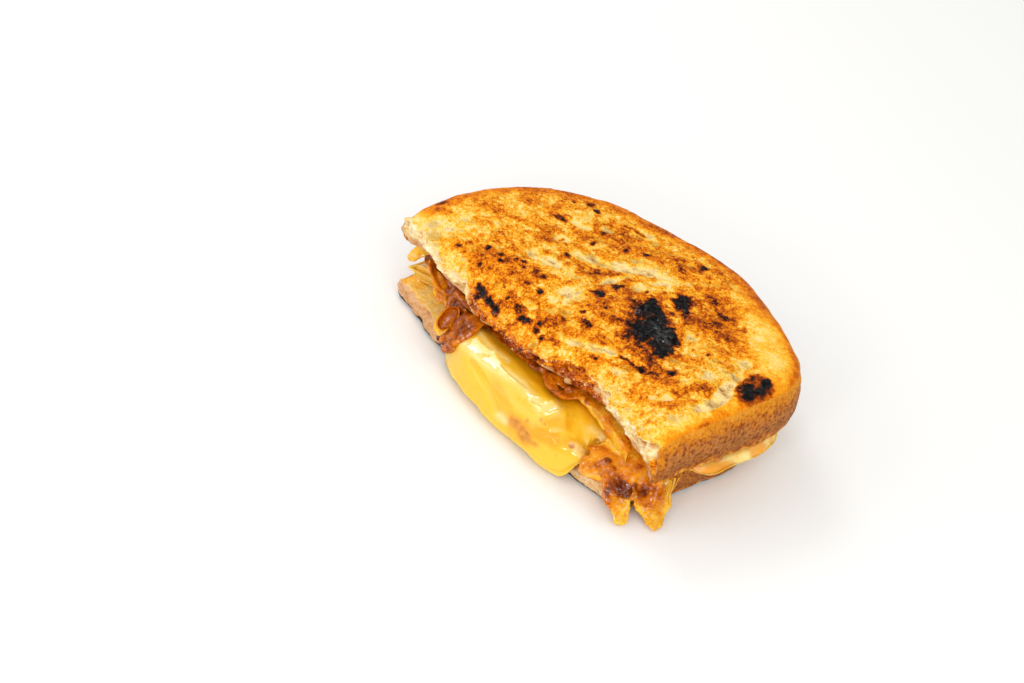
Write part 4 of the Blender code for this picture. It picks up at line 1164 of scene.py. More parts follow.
# %% Onion ribbons
# Tone from 0, pale amber, to 1, dark brown; width of the far end as a share; width, thickness, roll in
# degrees, curl, and points of the path.
STRIPS = (
    (0.45, 0.8, 5.0, 1.4, 25, 0.5,
     ((-45, 12, 15.4), (-44, 6, 15.0), (-41, 1.8, 14.0), (-36, 0.4, 12.8), (-31.6, 0.8, 12.0))),
    (0.22, 0.8, 6.0, 1.6, 10, 0.5, ((-38, 12, 15.2), (-37, 5, 14.6), (-35, 1.0, 12.0), (-33, -0.8, 8.8))),
    (0.62, 0.8, 6.0, 1.6, -5, 0.6, ((-30, 11, 15.2), (-29, 4, 14.7), (-28, 0.2, 12.0), (-27, -2.4, 9.0))),
    (0.85, 0.8, 5.0, 1.7, 0, 0.5,
     ((-26, 9, 15.1), (-25.6, 2.6, 14.8), (-24.6, -2, 11.4), (-23.6, -5.6, 7.4), (-22.6, -6.8, 4.2))),
    (0.75, 0.9, 4.0, 1.5, 0, 0.3,
     ((-22, 6, 14.9), (-21, 1.6, 13.0), (-19.6, -0.8, 10.6), (-18.6, -2.0, 8.0))),
    (0.15, 0.7, 4.6, 1.1, 20, 0.4,
     ((-45, 12, 15.2), (-48, 7.6, 15.0), (-50, 3.2, 13.4), (-50.6, 0.4, 11.0))),
    (0.1, 0.7, 3.6, 1.1, -20, 0.4,
     ((-42, 13, 15.6), (-48, 10, 15.7), (-52.4, 7, 15.8), (-54.0, 4.6, 15.6))),
    (0.6, 0.8, 2.8, 1.4, 0, 0.3,
     ((3, 9, 15.2), (7, 4, 15.2), (11, 0.8, 15.3), (15, -0.8, 15.2), (18.6, 0.4, 15.1), (20, 5, 15.2))),
    (0.5, 0.8, 3.0, 1.5, 0, 0.2,
     ((-3, 10, 15.2), (0, 5, 15.2), (4, 2.4, 15.3), (8, 3.4, 15.3), (10, 8, 15.3))),
    (0.6, 0.8, 3.2, 1.5, 0, 0.2,
     ((8, 10, 15.1), (12, 5, 15.2), (17, 3.6, 15.3), (22, 6, 15.2), (24, 12, 15.2))),
    (0.4, 0.8, 3.0, 1.5, 0, 0.3,
     ((18, 14, 15.1), (21, 9, 15.2), (26, 6.4, 15.0), (32, 6.6, 14.8), (36, 11, 15.1))),
    (0.42, 0.8, 3.4, 1.5, 0, 0.2,
     ((26, 14, 15.1), (30, 9, 15.0), (34, 4.8, 14.4), (38, 4, 13.8), (42, 8, 14.4))),
    (0.45, 0.7, 9.0, 2.2, 0, 0.3,
     ((37, 13, 15.0), (37.8, 7, 14.0), (38.6, 1.6, 12.2), (39.4, -2.8, 10.0), (40.0, -5.6, 7.2))),
    (0.45, 0.7, 9.0, 2.2, 0, 0.4,
     ((45, 13, 14.8), (45, 8, 14.0), (45.4, 2.6, 12.7), (46.0, -1.2, 10.2), (46.6, -3.6, 7.0))),
    (0.62, 1.0, 5.6, 3.0, 0, 0.4, ((43, 2, 12.2), (44.6, -2.6, 9.6), (46.8, -4.2, 6.2), (48.8, -4.0, 3.6))),
    (0.42, 0.9, 7.0, 2.0, 0, 0.8, ((45, 7, 13.4), (49.4, 5, 12.0), (52.2, 3, 8.2), (52.6, 2, 5.0))),
    (0.16, 1.0, 5.0, 1.2, 0, 0.4,
     ((48.4, -2.4, 6.4), (49.8, -3.4, 4.4), (50.8, -3.8, 2.8), (52.0, -4.2, 1.6), (53.2, -4.6, 1.2))),
    (0.22, 0.1, 11.0, 1.3, 0, 0.5,
     ((48.4, 6.6, 10.0), (51.4, 5.4, 7.0), (53.6, 4.6, 3.6), (56.4, 3.2, 1.6), (59.2, 1.2, 1.2))),
    (0.3, 0.8, 4.0, 1.1, 0, 0.3, ((42, 34, 15.1), (48, 34, 15.0), (52.2, 36, 13.5), (53.8, 40, 12.75))),
    (0.4, 0.8, 4.0, 1.1, 0, 0.3, ((42, 20, 15.1), (48, 21, 14.9), (52, 22.4, 13.5), (54.4, 25, 12.5))),
    (0.4, 0.8, 4.0, 1.3, 0, 0.3, ((-40, 22, 15.2), (-46, 22, 15.0), (-51, 24, 14.2))),
    (0.5, 0.8, 3.6, 1.3, 0, 0.3, ((-28, 42, 15.2), (-33, 47, 14.8), (-35, 52, 13.9))),
    (0.4, 0.8, 4.0, 1.3, 0, 0.3, ((2, 48, 15.2), (1, 54, 14.6), (-3, 59.6, 13.7))),
    (0.5, 0.8, 3.6, 1.2, 0, 0.3, ((28, 46, 15.2), (30, 53, 14.6), (28, 59.6, 13.2))),
)
# Ones that fill the seam under the torn edge, and the glazed heap at the base corner. Their points are
# across and down in the picture, with a height in mm.
SEAM_STRIPS = (
    (0.45, 1.0, 7.0, 2.2, 0, 0.2, ((437, 231, 15.3), (452, 254, 15.1), (467, 277, 14.6), (482, 296, 14.6))),
    (0.65, 1.0, 7.0, 2.2, 0, 0.2, ((475, 286, 14.8), (494, 313, 14.8), (516, 335, 15.1), (538, 352, 15.3))),
    (0.6, 1.0, 7.0, 2.2, 0, 0.2, ((527, 342, 15.2), (548, 365, 15.3), (572, 383, 15.3), (598, 400, 15.1))),
    (0.3, 1.0, 6.0, 2.0, 0, 0.2, ((578, 387, 15.3), (594, 403, 15.1), (612, 424, 14.6), (624, 438, 14.2))),
    (0.3, 0.8, 3.6, 1.6, 30, 0.3,
     ((448, 246, 15.4), (452, 262, 14.6), (450, 276, 13.0), (446, 288, 11.4))),
    (0.18, 0.8, 3.4, 1.5, -20, 0.4,
     ((440, 240, 15.4), (436, 256, 14.2), (438, 272, 13.0), (448, 282, 12.6))),
    (0.55, 0.6, 2.6, 1.4, 0, 0.3, ((536, 356, 15.4), (540, 364, 15.2), (550, 374, 15.0), (560, 384, 14.9))),
    (0.55, 1.0, 7.6, 3.2, 0, 0.3, ((596, 462, 10.5), (610, 466, 10.0), (626, 472, 9.4), (642, 478, 8.6))),
    (0.66, 1.0, 6.6, 3.0, 0, 0.5, ((608, 470, 9.4), (618, 480, 8.6), (626, 490, 6.6), (628, 502, 4.4))),
    (0.52, 1.0, 6.0, 2.6, 0, 0.4, ((632, 466, 10.0), (642, 476, 9.2), (648, 488, 7.4), (648, 498, 5.6))),
    (0.36, 1.0, 5.0, 2.4, 0, 0.3, ((590, 452, 11.4), (602, 452, 11.6), (616, 456, 11.2), (628, 462, 10.6))),
    (0.4, 1.0, 5.4, 2.6, 0, 0.3, ((581, 463, 9.0), (589, 469, 8.4), (598, 474, 8.0), (607, 477, 7.8))),
    (0.6, 1.0, 5.4, 2.4, 0, 0.3,
     ((445, 350, 6.0), (452, 343, 9.6), (460, 336, 12.9), (469, 329, 14.7), (478, 322, 15.6),
      (488, 316, 16.0))),
    (0.66, 1.0, 4.6, 2.2, 0, 0.3,
     ((441, 343, 5.6), (448, 335, 9.4), (456, 327, 12.4), (465, 321, 14.4), (474, 316, 15.2))),
)
# Lumps of glaze: middle across and down, height, reach, reach across it, turn, count and tone.
GLAZE = (
    (462, 298, 13.6, 14, 7, 55, 30, 0.6), (445, 276, 13.4, 9, 6, 45, 10, 0.25),
    (457, 321, 10.4, 9, 4, 60, 12, 0.8), (560, 376, 15.4, 34, 6, 36, 34, 0.5),
    (604, 460, 11.2, 12, 8, 30, 16, 0.52), (634, 470, 10.8, 22, 6, 14, 20, 0.3),
    (634, 456, 12.2, 16, 5, 10, 16, 0.12), (620, 490, 8.2, 10, 8, 0, 16, 0.6),
    (648, 487, 8.4, 9, 7, 0, 10, 0.46), (590, 466, 9.4, 8, 6, 40, 12, 0.36),
)


def smooth_path(path, count):
    """A path read evenly at count points, with its corners rounded by a running mean."""
    line = evenly(np.array(path, float), 61, False)
    padded = np.pad(line, ((8, 8), (0, 0)), mode="reflect", reflect_type="odd")
    return evenly(running_mean(padded, np.hanning(17)), count, False)


def full_turn(count):
    """Angles round a ring, count of them, none twice."""
    return np.linspace(0.0, math.tau, count, endpoint=False)[None, :]


def path_frame(line, hint):
    """Directions along a path, to its side and out of its face. hint is a direction out of the face."""
    ahead = np.gradient(line, axis=0)
    ahead = ahead / np.linalg.norm(ahead, axis=1, keepdims=True)
    side = np.cross(ahead, hint)
    side = side / np.linalg.norm(side, axis=1, keepdims=True)
    return ahead, side, np.cross(side, ahead)


def ribbon(tip, width, thickness, roll, curl, path, along=34, around=16, seed=0):
    """Rings of an onion strip: a flat ribbon along the path, rolled about it and curled across.

    Across the ribbon u goes from -1 to 1, and its middle line is lifted by curl u^2. Its width goes
    from the full one to the tip's share of it as t^2.6, and noise ripples it.
    """
    line = smooth_path(path, along)
    way = np.linspace(0.0, 1.0, along)
    ahead, side, face = path_frame(line, (0.0, 0.0, 1.0))
    lean = math.radians(roll) * np.sin(math.pi * way)[:, None]
    side, face = side * np.cos(lean) + face * np.sin(lean), face * np.cos(lean) - side * np.sin(lean)
    taper = np.sqrt(1.0 - np.abs(2.0 * way - 1.0) ** 6 * 0.985)
    taper = (taper * (1.0 + (tip - 1.0) * way**2.6))[:, None]
    turn = full_turn(around)
    ripple = 1.0 + 0.18 * noise(line + seed, 2.6, 401 + seed)[:, None]
    across = 0.5 * width * taper * ripple * np.cos(turn)
    lift = 0.5 * thickness * np.sqrt(taper) * np.sin(turn) + curl * taper * (np.cos(turn) ** 2 - 0.5)
    grid = line[:, None] + side[:, None] * across[..., None] + face[:, None] * lift[..., None]
    return grid + face[:, None] * (0.35 * noise(grid, 3.0, 421 + seed) * taper)[..., None]


def ball(middle, radius):
    """Rings of a small ball: radius sin t, at height radius cos t."""
    angle = np.linspace(0.25, math.pi - 0.25, 7)[:, None]
    turn = full_turn(10)
    spoke = [np.sin(angle) * np.cos(turn), np.sin(angle) * np.sin(turn), np.cos(angle) + 0.0 * turn]
    return middle + radius * np.stack(spoke, axis=-1)


def joined_piece(name, grids):
    """Joins closed bodies of rings, each a grid, into one piece."""
    points, faces, used = [], [], 0
    for grid in grids:
        count, around = grid.shape[:2]
        points += [grid.reshape(-1, 3), grid[0].mean(axis=0)[None], grid[-1].mean(axis=0)[None]]
        faces += [[corner + used for corner in face] for face in ringed_faces(count, around)]
        used += count * around + 2
    made = new_piece(name, np.concatenate(points), faces)
    return made, np.concatenate(points)


def nearest_tone(points, samples, tones):
    """Tone at each point: the mean over all samples, weighed by exp(-d^2 / 0.8 mm^2)."""
    found = []
    for part in np.array_split(points, 1 + len(points) // 4000):
        gap = ((part[:, None] - samples[None]) ** 2).sum(axis=2)
        weight = np.exp(-(gap - gap.min(axis=1, keepdims=True)) / 0.8)
        found.append((weight * tones).sum(axis=1) / weight.sum(axis=1))
    return np.concatenate(found)


# %% [markdown]
# Cooked onion is glued together by its own syrup, so no ribbon ends sharply where it meets the next.
# The Remesh modifier turns all the ribbons into one skin, and smoothing that skin fills the creases
# like syrup does. The tone of each ribbon is found again afterwards by its distance.

# %% Melting the ribbons together
STRANDS_EACH = 2
ONION_VOXEL = 0.0004
GLAZE_REACH = 2.0
# Darker and lighter places of the onions: across, down, half width, half height, turn, change of tone.
ONION_DARK = (
    (606, 459, 8, 8, 30, 0.16), (624, 490, 10, 9, 0, 0.3), (638, 491, 24, 9, 0, 0.26),
    (463, 330, 12, 7, -50, 0.15), (545, 366, 14, 7, 30, 0.2), (630, 437, 6, 3.4, 20, 0.5),
    (604, 388, 10, 8, 30, 0.2), (447, 345, 8, 6, -30, 0.1), (610, 495, 5, 12, 0, 0.12),
)
ONION_PALE = (
    (625, 513, 14, 12, 0, 0.12), (655, 522, 14, 14, 0, 0.14), (602, 420, 24, 12, 45, 0.8),
    (622, 446, 17, 9, 30, 0.65), (420, 252, 14, 10, -30, 0.2), (648, 462, 9, 6, 20, 0.3),
    (585, 452, 6, 10, 0, 0.15), (592, 474, 12, 5, 20, 0.2),
)
draw = np.random.default_rng(12)
ribbons, samples, tones = [], [], []
in_seam = [(*strip[:6], [under_pixel(*point) for point in strip[6]]) for strip in SEAM_STRIPS]
for number, (tone, tip, width, thickness, roll, curl, path) in enumerate([*STRIPS, *in_seam]):
    ribbons.append(ribbon(tip, width, thickness, roll, curl, path, seed=number))
    middle = smooth_path(path, 12)
    _, side, _ = path_frame(middle, (0.0, 0.0, 1.0))
    narrowed = width * (1.0 + (tip - 1.0) * np.linspace(0.0, 1.0, 12)[:, None] ** 2.6)
    for shift, change in ((-0.46, -0.2), (-0.2, 0.04), (0.2, 0.04), (0.46, -0.2)):
        samples.append(middle + side * shift * narrowed)
        tones.append(np.full(12, tone + change))
    for strand in range(STRANDS_EACH if width < 7.0 and path[0][0] < 36.0 else 0):
        shift = draw.uniform(-0.4, 0.4, 3) * np.array([width, 0.4 * width, 0.8])
        bend = draw.uniform(-1.0, 1.0, (len(path), 3)) * np.array([0.7, 0.5, 0.3])
        near = np.array(path, float) + shift + bend
        near[:, 2] = np.maximum(near[:, 2], 1.2)
        slim = draw.uniform(1.3, 2.0)
        twist, seed = draw.uniform(-40, 40), number + 30 * strand + 40
        ribbons.append(ribbon(0.8, slim, 1.2, twist, 0.1, near, 30, 10, seed))
        samples.append(smooth_path(near, 12))
        tones.append(np.full(12, np.clip(tone + draw.uniform(-0.25, 0.25), 0.1, 0.95)))
on_ribbons = np.concatenate(samples)
for across, down, height, reach, beside, turn, count, tone in GLAZE:
    lean = math.radians(turn)
    for along, away, lift, size in draw.uniform(-1.0, 1.0, (count, 4)) * np.array([reach, beside, 0.7, 0.3]):
        shift_x = along * math.cos(lean) - away * math.sin(lean)
        shift_y = along * math.sin(lean) + away * math.cos(lean)
        spot = under_pixel(across + shift_x, down + shift_y, height + lift)
        if np.linalg.norm(on_ribbons - spot, axis=1).min() > GLAZE_REACH:
            continue
        ribbons.append(ball(spot, 0.85 + size))
        samples.append(spot[None])
        tones.append(np.array([tone + 0.5 * size]))
onion_strips, _ = joined_piece("onion_strips", ribbons)
remesh = onion_strips.modifiers.new("one_skin", "REMESH")
remesh.mode = "VOXEL"
remesh.voxel_size = ONION_VOXEL
syrup = onion_strips.modifiers.new("syrup", "SMOOTH")
syrup.factor, syrup.iterations = 0.5, 5
evaluated = onion_strips.evaluated_get(bpy.context.evaluated_depsgraph_get())
melted_mesh = bpy.data.meshes.new_from_object(evaluated)
onion_strips.modifiers.clear()
onion_strips.data = melted_mesh
melted_mesh.shade_smooth()
flat_list = np.empty(len(melted_mesh.vertices) * 3)
melted_mesh.vertices.foreach_get("co", flat_list)
base = flat_list.reshape(-1, 3) / MM - PLACE
ridges = 0.34 * rough(stretched(base, 60, 2.0), 1.8, 431) + 0.16 * noise(base, 3.0, 435)
ridges += 0.35 * bubbles(base, 2.0, 433, 0.5) * smooth_step(noise(base, 6.0, 434) + 0.6)
reshape_piece(onion_strips, base + normals_of(onion_strips) * (ridges + 0.12)[:, None])
place = picture_place(base)
torn = 0.4 * rough(base, 2.0, 437)
tone = nearest_tone(base, np.concatenate(samples), np.concatenate(tones))
tone = tone + marked(place, ONION_DARK, torn) - marked(place, ONION_PALE, torn)
tone = tone + 0.14 * rough(base, 2.8, 441, 2)
paint(onion_strips, tone=np.clip(tone, 0.03, 0.76), across=0.5 + 0.5 * noise(base, 1.5, 443))
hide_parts("onions")
print("onions:", len(ribbons), "ribbons melted into", len(base), "points")

# %% [markdown]
# One ribbon end curls up like a small cup beside the cheese. It's a shallow bowl: a profile of radius
# and depth turned round an axis that points at the viewer. It is brown, and its rim is pale on one side.

# %% Onion cup
CUP_PIXEL, CUP_HEIGHT = (447.0, 321.0), 8.6
CUP_MIDDLE = under_pixel(*CUP_PIXEL, CUP_HEIGHT) + 4.4 * BACK
CUP_LONG, CUP_SHORT, CUP_DEPTH = 4.5, 2.7, 2.4
CUP_TURN = math.radians(54.0)


def cup_rings(around=48):
    """Rings of an oval bowl: outside r = sin t, depth D cos t, then over a thick rim and down inside.

    The inside is shifted along the oval, so the rim is thick at one end and thin at the other.
    """
    angle = np.linspace(0.12, math.pi / 2, 12)
    outer = np.stack([np.sin(angle), -CUP_DEPTH * np.cos(angle), 0.0 * angle], axis=1)
    lip = np.array([[0.98, 0.35, 0.1], [0.90, 0.55, 0.3], [0.80, 0.35, 0.6]])
    inner = np.stack([0.74 * np.sin(angle), -0.5 * CUP_DEPTH * np.cos(angle), 0.7 + 0.0 * angle], axis=1)
    profile = np.concatenate([outer, lip, inner[::-1]])
    long_way = math.cos(CUP_TURN) * RIGHT + math.sin(CUP_TURN) * UP
    short_way = math.sin(CUP_TURN) * RIGHT - math.cos(CUP_TURN) * UP
    turn = full_turn(around)[..., None]
    wave = 1.0 + 0.04 * np.sin(2 * turn + 0.6) + 0.03 * np.sin(5 * turn)
    spoke = long_way * np.cos(turn) * CUP_LONG + short_way * np.sin(turn) * CUP_SHORT
    radius, rise, shift = (profile[:, k][:, None, None] for k in range(3))
    grid = CUP_MIDDLE + spoke * (radius * wave) + BACK * rise + long_way * shift
    number = np.arange(len(profile))
    pale = bell(number - 13.0, 2.0)[:, None] * (0.5 - 0.5 * np.cos(turn[..., 0]))
    return grid[::-1], np.where(number > 14, 0.58, 0.54)[::-1, None] - 0.5 * pale[::-1]


grid, tone = cup_rings()
onion_cup, points = joined_piece("onion_cup", [grid])
reshape_piece(onion_cup, points + normals_of(onion_cup) * (0.12 * rough(points, 1.8, 447))[:, None])
tone = np.append(tone.ravel(), [tone[0].mean(), tone[-1].mean()])
paint(onion_cup, tone=tone, across=0.5 + 0.0 * points[:, 0])
print("onion cup stands at pixel", picture_place(CUP_MIDDLE).round(0))

# %% [markdown]
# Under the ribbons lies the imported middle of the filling. It is one lumpy pad between the cheese and
# the upper slice, worked out from their own heights, with a small gap left to each.

# %% Onion core
CORE_COLUMNS = 420
# Column of the picture from which the core turns from brown to golden.
GOLDEN_START = 575.0


def core_rings(columns):
    """Rings of the onion layer's core, a thin lumpy pad between cheese and upper slice."""
    outline, outward = lower_outline(columns)
    at_cut = facing_cut(outward)
    distance = at_cut * along_knots(CORE_INSET, outline[:, 0]) + (1.0 - at_cut) * CORE_CRUST_INSET
    edge = inset(outline, outward, distance)
    over = pulled_in(edge, HIDDEN_PULLS[::-1], upper_bottom, -LAYER_GAP)
    middle = 0.5 * (upper_bottom(edge) + cheese_top(edge))
    outermost = np.column_stack([inset(outline, outward, distance - 1.1), middle])
    return np.stack([*over, outermost, *pulled_in(edge, HIDDEN_PULLS, cheese_top, CHEESE_GAP)])


CORE_STEPS = (1, 1, 2, 3, 6, 5, 5, 6, 3, 2, 1, 1)
onion_core, base = ringed_piece("onion_core", core_rings(CORE_COLUMNS), CORE_STEPS)
lumps = 0.5 * rough(base, 2.6, 451) - 0.2
reshape_piece(onion_core, base + normals_of(onion_core) * lumps[:, None])
place = picture_place(base)
tone = 0.6 + 0.3 * rough(base, 4.0, 455) - 0.45 * smooth_step((place[:, 0] - GOLDEN_START) / 30.0)
tone = tone + 0.6 * marked(place, ONION_DARK, 0.0)
paint(onion_core, tone=np.clip(tone, 0.03, 0.8), across=0.5 + 0.5 * noise(base, 2.0, 457))
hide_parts("onions")
print("onions:", len(ribbons), "ribbons and a core of", len(base), "points")

# %% [markdown]
# ## Strings of cheese
#
# Where the slices were pulled apart, thin strings of cheese still hang. They are tubes along short
# curves, thinner in the middle, where they stretched most.

# %% Cheese strings
# Radius in mm, then across, down and height of each point.
STRINGS = (
    (0.26, ((540, 352, 18.0), (541, 360, 16.4), (543, 368, 15.0))),
    (0.2, ((552, 362, 17.6), (553, 371, 15.8), (555, 378, 15.0))),
    (0.36, ((675, 478, 13.4), (673, 487, 10.4), (669, 495, 7.6), (670, 504, 5.2))),
    (0.24, ((670, 480, 12.6), (669, 488, 9.6), (666, 494, 7.4))),
    (0.2, ((679, 478, 13.2), (674, 488, 9.0), (670, 493, 7.6))),
)


def string_rings(radius, path, along=30, around=8):
    """Rings of a thin tube along a path: radius times 1 - 0.45 sin(pi t), so it is thin in the middle."""
    line = smooth_path([under_pixel(*point) for point in path], along)
    _, side, face = path_frame(line, BACK)
    turn = full_turn(around)[..., None]
    thin = (radius * (1.0 - 0.45 * np.sin(math.pi * np.linspace(0.0, 1.0, along))))[:, None, None]
    return line[:, None] + thin * (side[:, None] * np.cos(turn) + face[:, None] * np.sin(turn))


cheese_strings, points = joined_piece("cheese_strings", [string_rings(*string) for string in STRINGS])
reshape_piece(cheese_strings, points)
plain = np.zeros(len(points))
paint(cheese_strings, stain=plain + 0.5, deep=plain + 0.8, pale=plain, ooze=plain, butter=plain)
print("cheese strings:", len(STRINGS))

# %% [markdown]
# ## Colours and node helpers
#
# Colours are written as a screen shows them, 0 to 255, because that is how they are read off a
# picture. Shaders count light, so each is turned into a linear value first.

# %% Node helpers


def screen(red, green, blue):
    """A colour as a screen shows it, 0 to 255, made linear for the shader."""
    parts = np.array([red, green, blue]) / 255.0
    linear = np.where(parts <= 0.04045, parts / 12.92, ((parts + 0.055) / 1.055) ** 2.4)
    return (*linear.tolist(), 1.0)


def feed(tree, made, values):
    """Links input sockets of a node to the sockets given for them, and sets the plain values."""
    for socket, value in dict(values).items():
        if isinstance(value, bpy.types.NodeSocket):
            tree.links.new(value, made.inputs[socket])
        else:
            made.inputs[socket].default_value = value
    return made


def node(tree, kind, values=(), **settings):
    """Adds a node, sets its properties, and feeds its input sockets."""
    made = tree.nodes.new("ShaderNode" + kind)
    for name, value in settings.items():
        setattr(made, name, value)
    return feed(tree, made, values)


def painted(tree, name):
    """The painted value of that name at each point."""
    return node(tree, "Attribute", attribute_name=name).outputs["Fac"]


def math_node(tree, operation, first, second=0.0, clamp=False):
    """One Math node of two values."""
    return node(tree, "Math", {0: first, 1: second}, operation=operation, use_clamp=clamp).outputs[0]


def plus(tree, first, second, clamp=False):
    """The two values added up."""
    return math_node(tree, "ADD", first, second, clamp)


def minus(tree, first, second, clamp=False):
    """The first value less the second."""
    return math_node(tree, "SUBTRACT", first, second, clamp)


def times(tree, first, second, clamp=False):
    """The two values multiplied."""
    return math_node(tree, "MULTIPLY", first, second, clamp)


def swing(tree, value, middle, strength, clamp=False):
    """How far a value lies above its middle, multiplied by a strength."""
    return times(tree, minus(tree, value, middle), strength, clamp)


def blend_colour(tree, share, first, second, mode="MIX"):
    """The second colour over the first, by share."""
    sockets = {0: share, 6: first, 7: second}
    return node(tree, "Mix", sockets, data_type="RGBA", blend_type=mode, clamp_factor=True).outputs[2]


def ramp(tree, value, stops):
    """A colour ramp through (position, screen colour) stops."""
    made = node(tree, "ValToRGB", {0: value})
    band = made.color_ramp.elements
    while len(band) < len(stops):
        band.new(0.5)
    for element, (position, colour) in zip(band, stops):
        element.position = position
        element.color = screen(*colour)
    return made.outputs["Color"]


def new_group(name, inputs, outputs):
    """An empty shader group with named sockets: (name, default) pairs in, names out."""
    group = bpy.data.node_groups.new(name, "ShaderNodeTree")
    for label, default in inputs:
        socket = group.interface.new_socket(label, in_out="INPUT", socket_type="NodeSocketFloat")
        socket.default_value = default
    for label in outputs:
        group.interface.new_socket(label, in_out="OUTPUT", socket_type="NodeSocketFloat")
    return group, group.nodes.new("NodeGroupInput").outputs, group.nodes.new("NodeGroupOutput").inputs


def use_group(tree, group, **values):
    """Places a group, feeds its named inputs, and gives its one output."""
    sockets = {label.capitalize(): value for label, value in values.items()}
    return node(tree, "Group", sockets, node_tree=group).outputs[0]


def bumped(tree, height, strength, distance):
    """The normal of a surface with that height on it. The distance is in metres."""
    sockets = {"Height": height, "Strength": strength, "Distance": distance}
    return node(tree, "Bump", sockets).outputs["Normal"]


# %% [markdown]
# ## Effects that several finishes share
#
# Mottle is a cloudy pattern of a given size in millimetres, stretched to the full range. Grain is a
# fine height for bumps. Specks are rare small dots. Cells are the thin walls of a foam, which is what
# bread is. All three finishes use mottle and grain, and bread alone has the specks and the cells.

# %% Shared groups


def place_and_scale(group, given):
    """The place on the piece, and the texture scale for a cell size given in millimetres."""
    return node(group, "TexCoord").outputs["Object"], math_node(group, "DIVIDE", 1000.0, given["Size"])


def mottle_group():
    """Noise of a size in millimetres, with its middle range stretched over 0 to 1."""
    sockets = [("Size", 2.0), ("Detail", 3.0), ("Sharpness", 2.0)]
    group, given, result = new_group("mottle", sockets, ["Value"])
    place, scale = place_and_scale(group, given)
    cloud = node(group, "TexNoise", {"Vector": place, "Scale": scale, "Detail": given["Detail"]})
    spread = swing(group, cloud.outputs["Fac"], 0.5, given["Sharpness"])
    group.links.new(plus(group, spread, 0.5, clamp=True), result["Value"])
    return group


def grain_group():
    """Two sizes of noise added up as a height from 0 to 1."""
    group, given, result = new_group("grain", [("Size", 0.5), ("Coarse", 0.5)], ["Height"])
    place, scale = place_and_scale(group, given)
    fine = node(group, "TexNoise", {"Vector": place, "Scale": scale, "Detail": 4.0, "Roughness": 0.6})
    wide = times(group, scale, 0.3)
    coarse = node(group, "TexNoise", {"Vector": place, "Scale": wide, "Detail": 2.0})
    share = times(group, coarse.outputs["Fac"], given["Coarse"])
    group.links.new(plus(group, fine.outputs["Fac"], share), result["Height"])
    return group


def specks_group():
    """Small round dots: cells of a Voronoi pattern, kept where a random draw is below the amount."""
    group, given, result = new_group("specks", [("Size", 1.4), ("Radius", 0.3), ("Amount", 0.3)], ["Mask"])
    place, scale = place_and_scale(group, given)
    cells = node(group, "TexVoronoi", {"Vector": place, "Scale": scale})
    draw_value = node(group, "SeparateColor", {0: cells.outputs["Color"]}).outputs[0]
    chosen = math_node(group, "LESS_THAN", draw_value, given["Amount"])
    near = minus(group, given["Radius"], cells.outputs["Distance"])
    edge = times(group, near, 9.0, clamp=True)
    group.links.new(times(group, edge, chosen), result["Mask"])
    return group


def cells_group():
    """Walls of a foam from 0 to 1: 1 less the distance to the edge of a drifting Voronoi cell."""
    group, given, result = new_group("cells", [("Size", 1.2), ("Wall", 0.3)], ["Wall"])
    place, scale = place_and_scale(group, given)
    drift = node(group, "TexNoise", {"Vector": place, "Scale": scale, "Detail": 2.0}).outputs["Color"]
    drift = node(group, "VectorMath", {0: drift, "Scale": 1.1}, operation="SCALE").outputs[0]
    place = node(group, "VectorMath", {0: place, "Scale": scale}, operation="SCALE").outputs[0]
    place = node(group, "VectorMath", {0: place, 1: drift}, operation="ADD").outputs[0]
    cells = node(group, "TexVoronoi", {"Vector": place, "Scale": 1.0}, feature="DISTANCE_TO_EDGE")
    away = math_node(group, "DIVIDE", cells.outputs["Distance"], given["Wall"], clamp=True)
    group.links.new(minus(group, 1.0, away), result["Wall"])
    return group


MOTTLE, GRAIN, SPECKS, CELLS = mottle_group(), grain_group(), specks_group(), cells_group()
print("groups:", ", ".join(group.name for group in bpy.data.node_groups))

# %% [markdown]
# ## Toasted bread
#
# One finish covers crumb, crust and toast. The painted level picks a colour from cream through golden
# orange to charcoal, fine mottle breaks it up below the size of the mesh, and the masks lay the crust
# and the crumb beside it.

# %% Bread finish
TOAST_COLOURS = (
    (0.00, (206, 166, 92)), (0.08, (238, 204, 138)), (0.18, (252, 224, 156)), (0.28, (255, 218, 120)),
    (0.38, (254, 196, 62)), (0.47, (250, 164, 24)), (0.57, (232, 126, 2)), (0.67, (190, 88, 2)),
    (0.77, (134, 54, 4)), (0.86, (76, 30, 6)), (0.94, (20, 13, 10)), (1.00, (4, 4, 4)),
)
CRUMB_COLOURS = (
    (0.0, (190, 136, 72)), (0.35, (236, 192, 120)), (0.65, (252, 224, 160)), (1.0, (255, 244, 212)),
)
CRUST_COLOURS = (
    (0.00, (236, 156, 44)), (0.1, (234, 148, 28)), (0.2, (224, 134, 28)), (0.32, (210, 130, 52)),
    (0.5, (196, 128, 62)), (0.72, (180, 110, 44)), (0.84, (206, 112, 14)), (0.95, (250, 176, 56)),
)


def new_material(name):
    """A material, its tree and its Principled shader."""
    made = bpy.data.materials.new(name)
    made.use_nodes = True
    return made, made.node_tree, made.node_tree.nodes["Principled BSDF"]


def dress(finish, *pieces):
    """Puts a finish on pieces and prints how many nodes it has."""
    for piece in pieces:
        piece.data.materials.append(finish)
    print(finish.name + ":", len(finish.node_tree.nodes), "nodes")


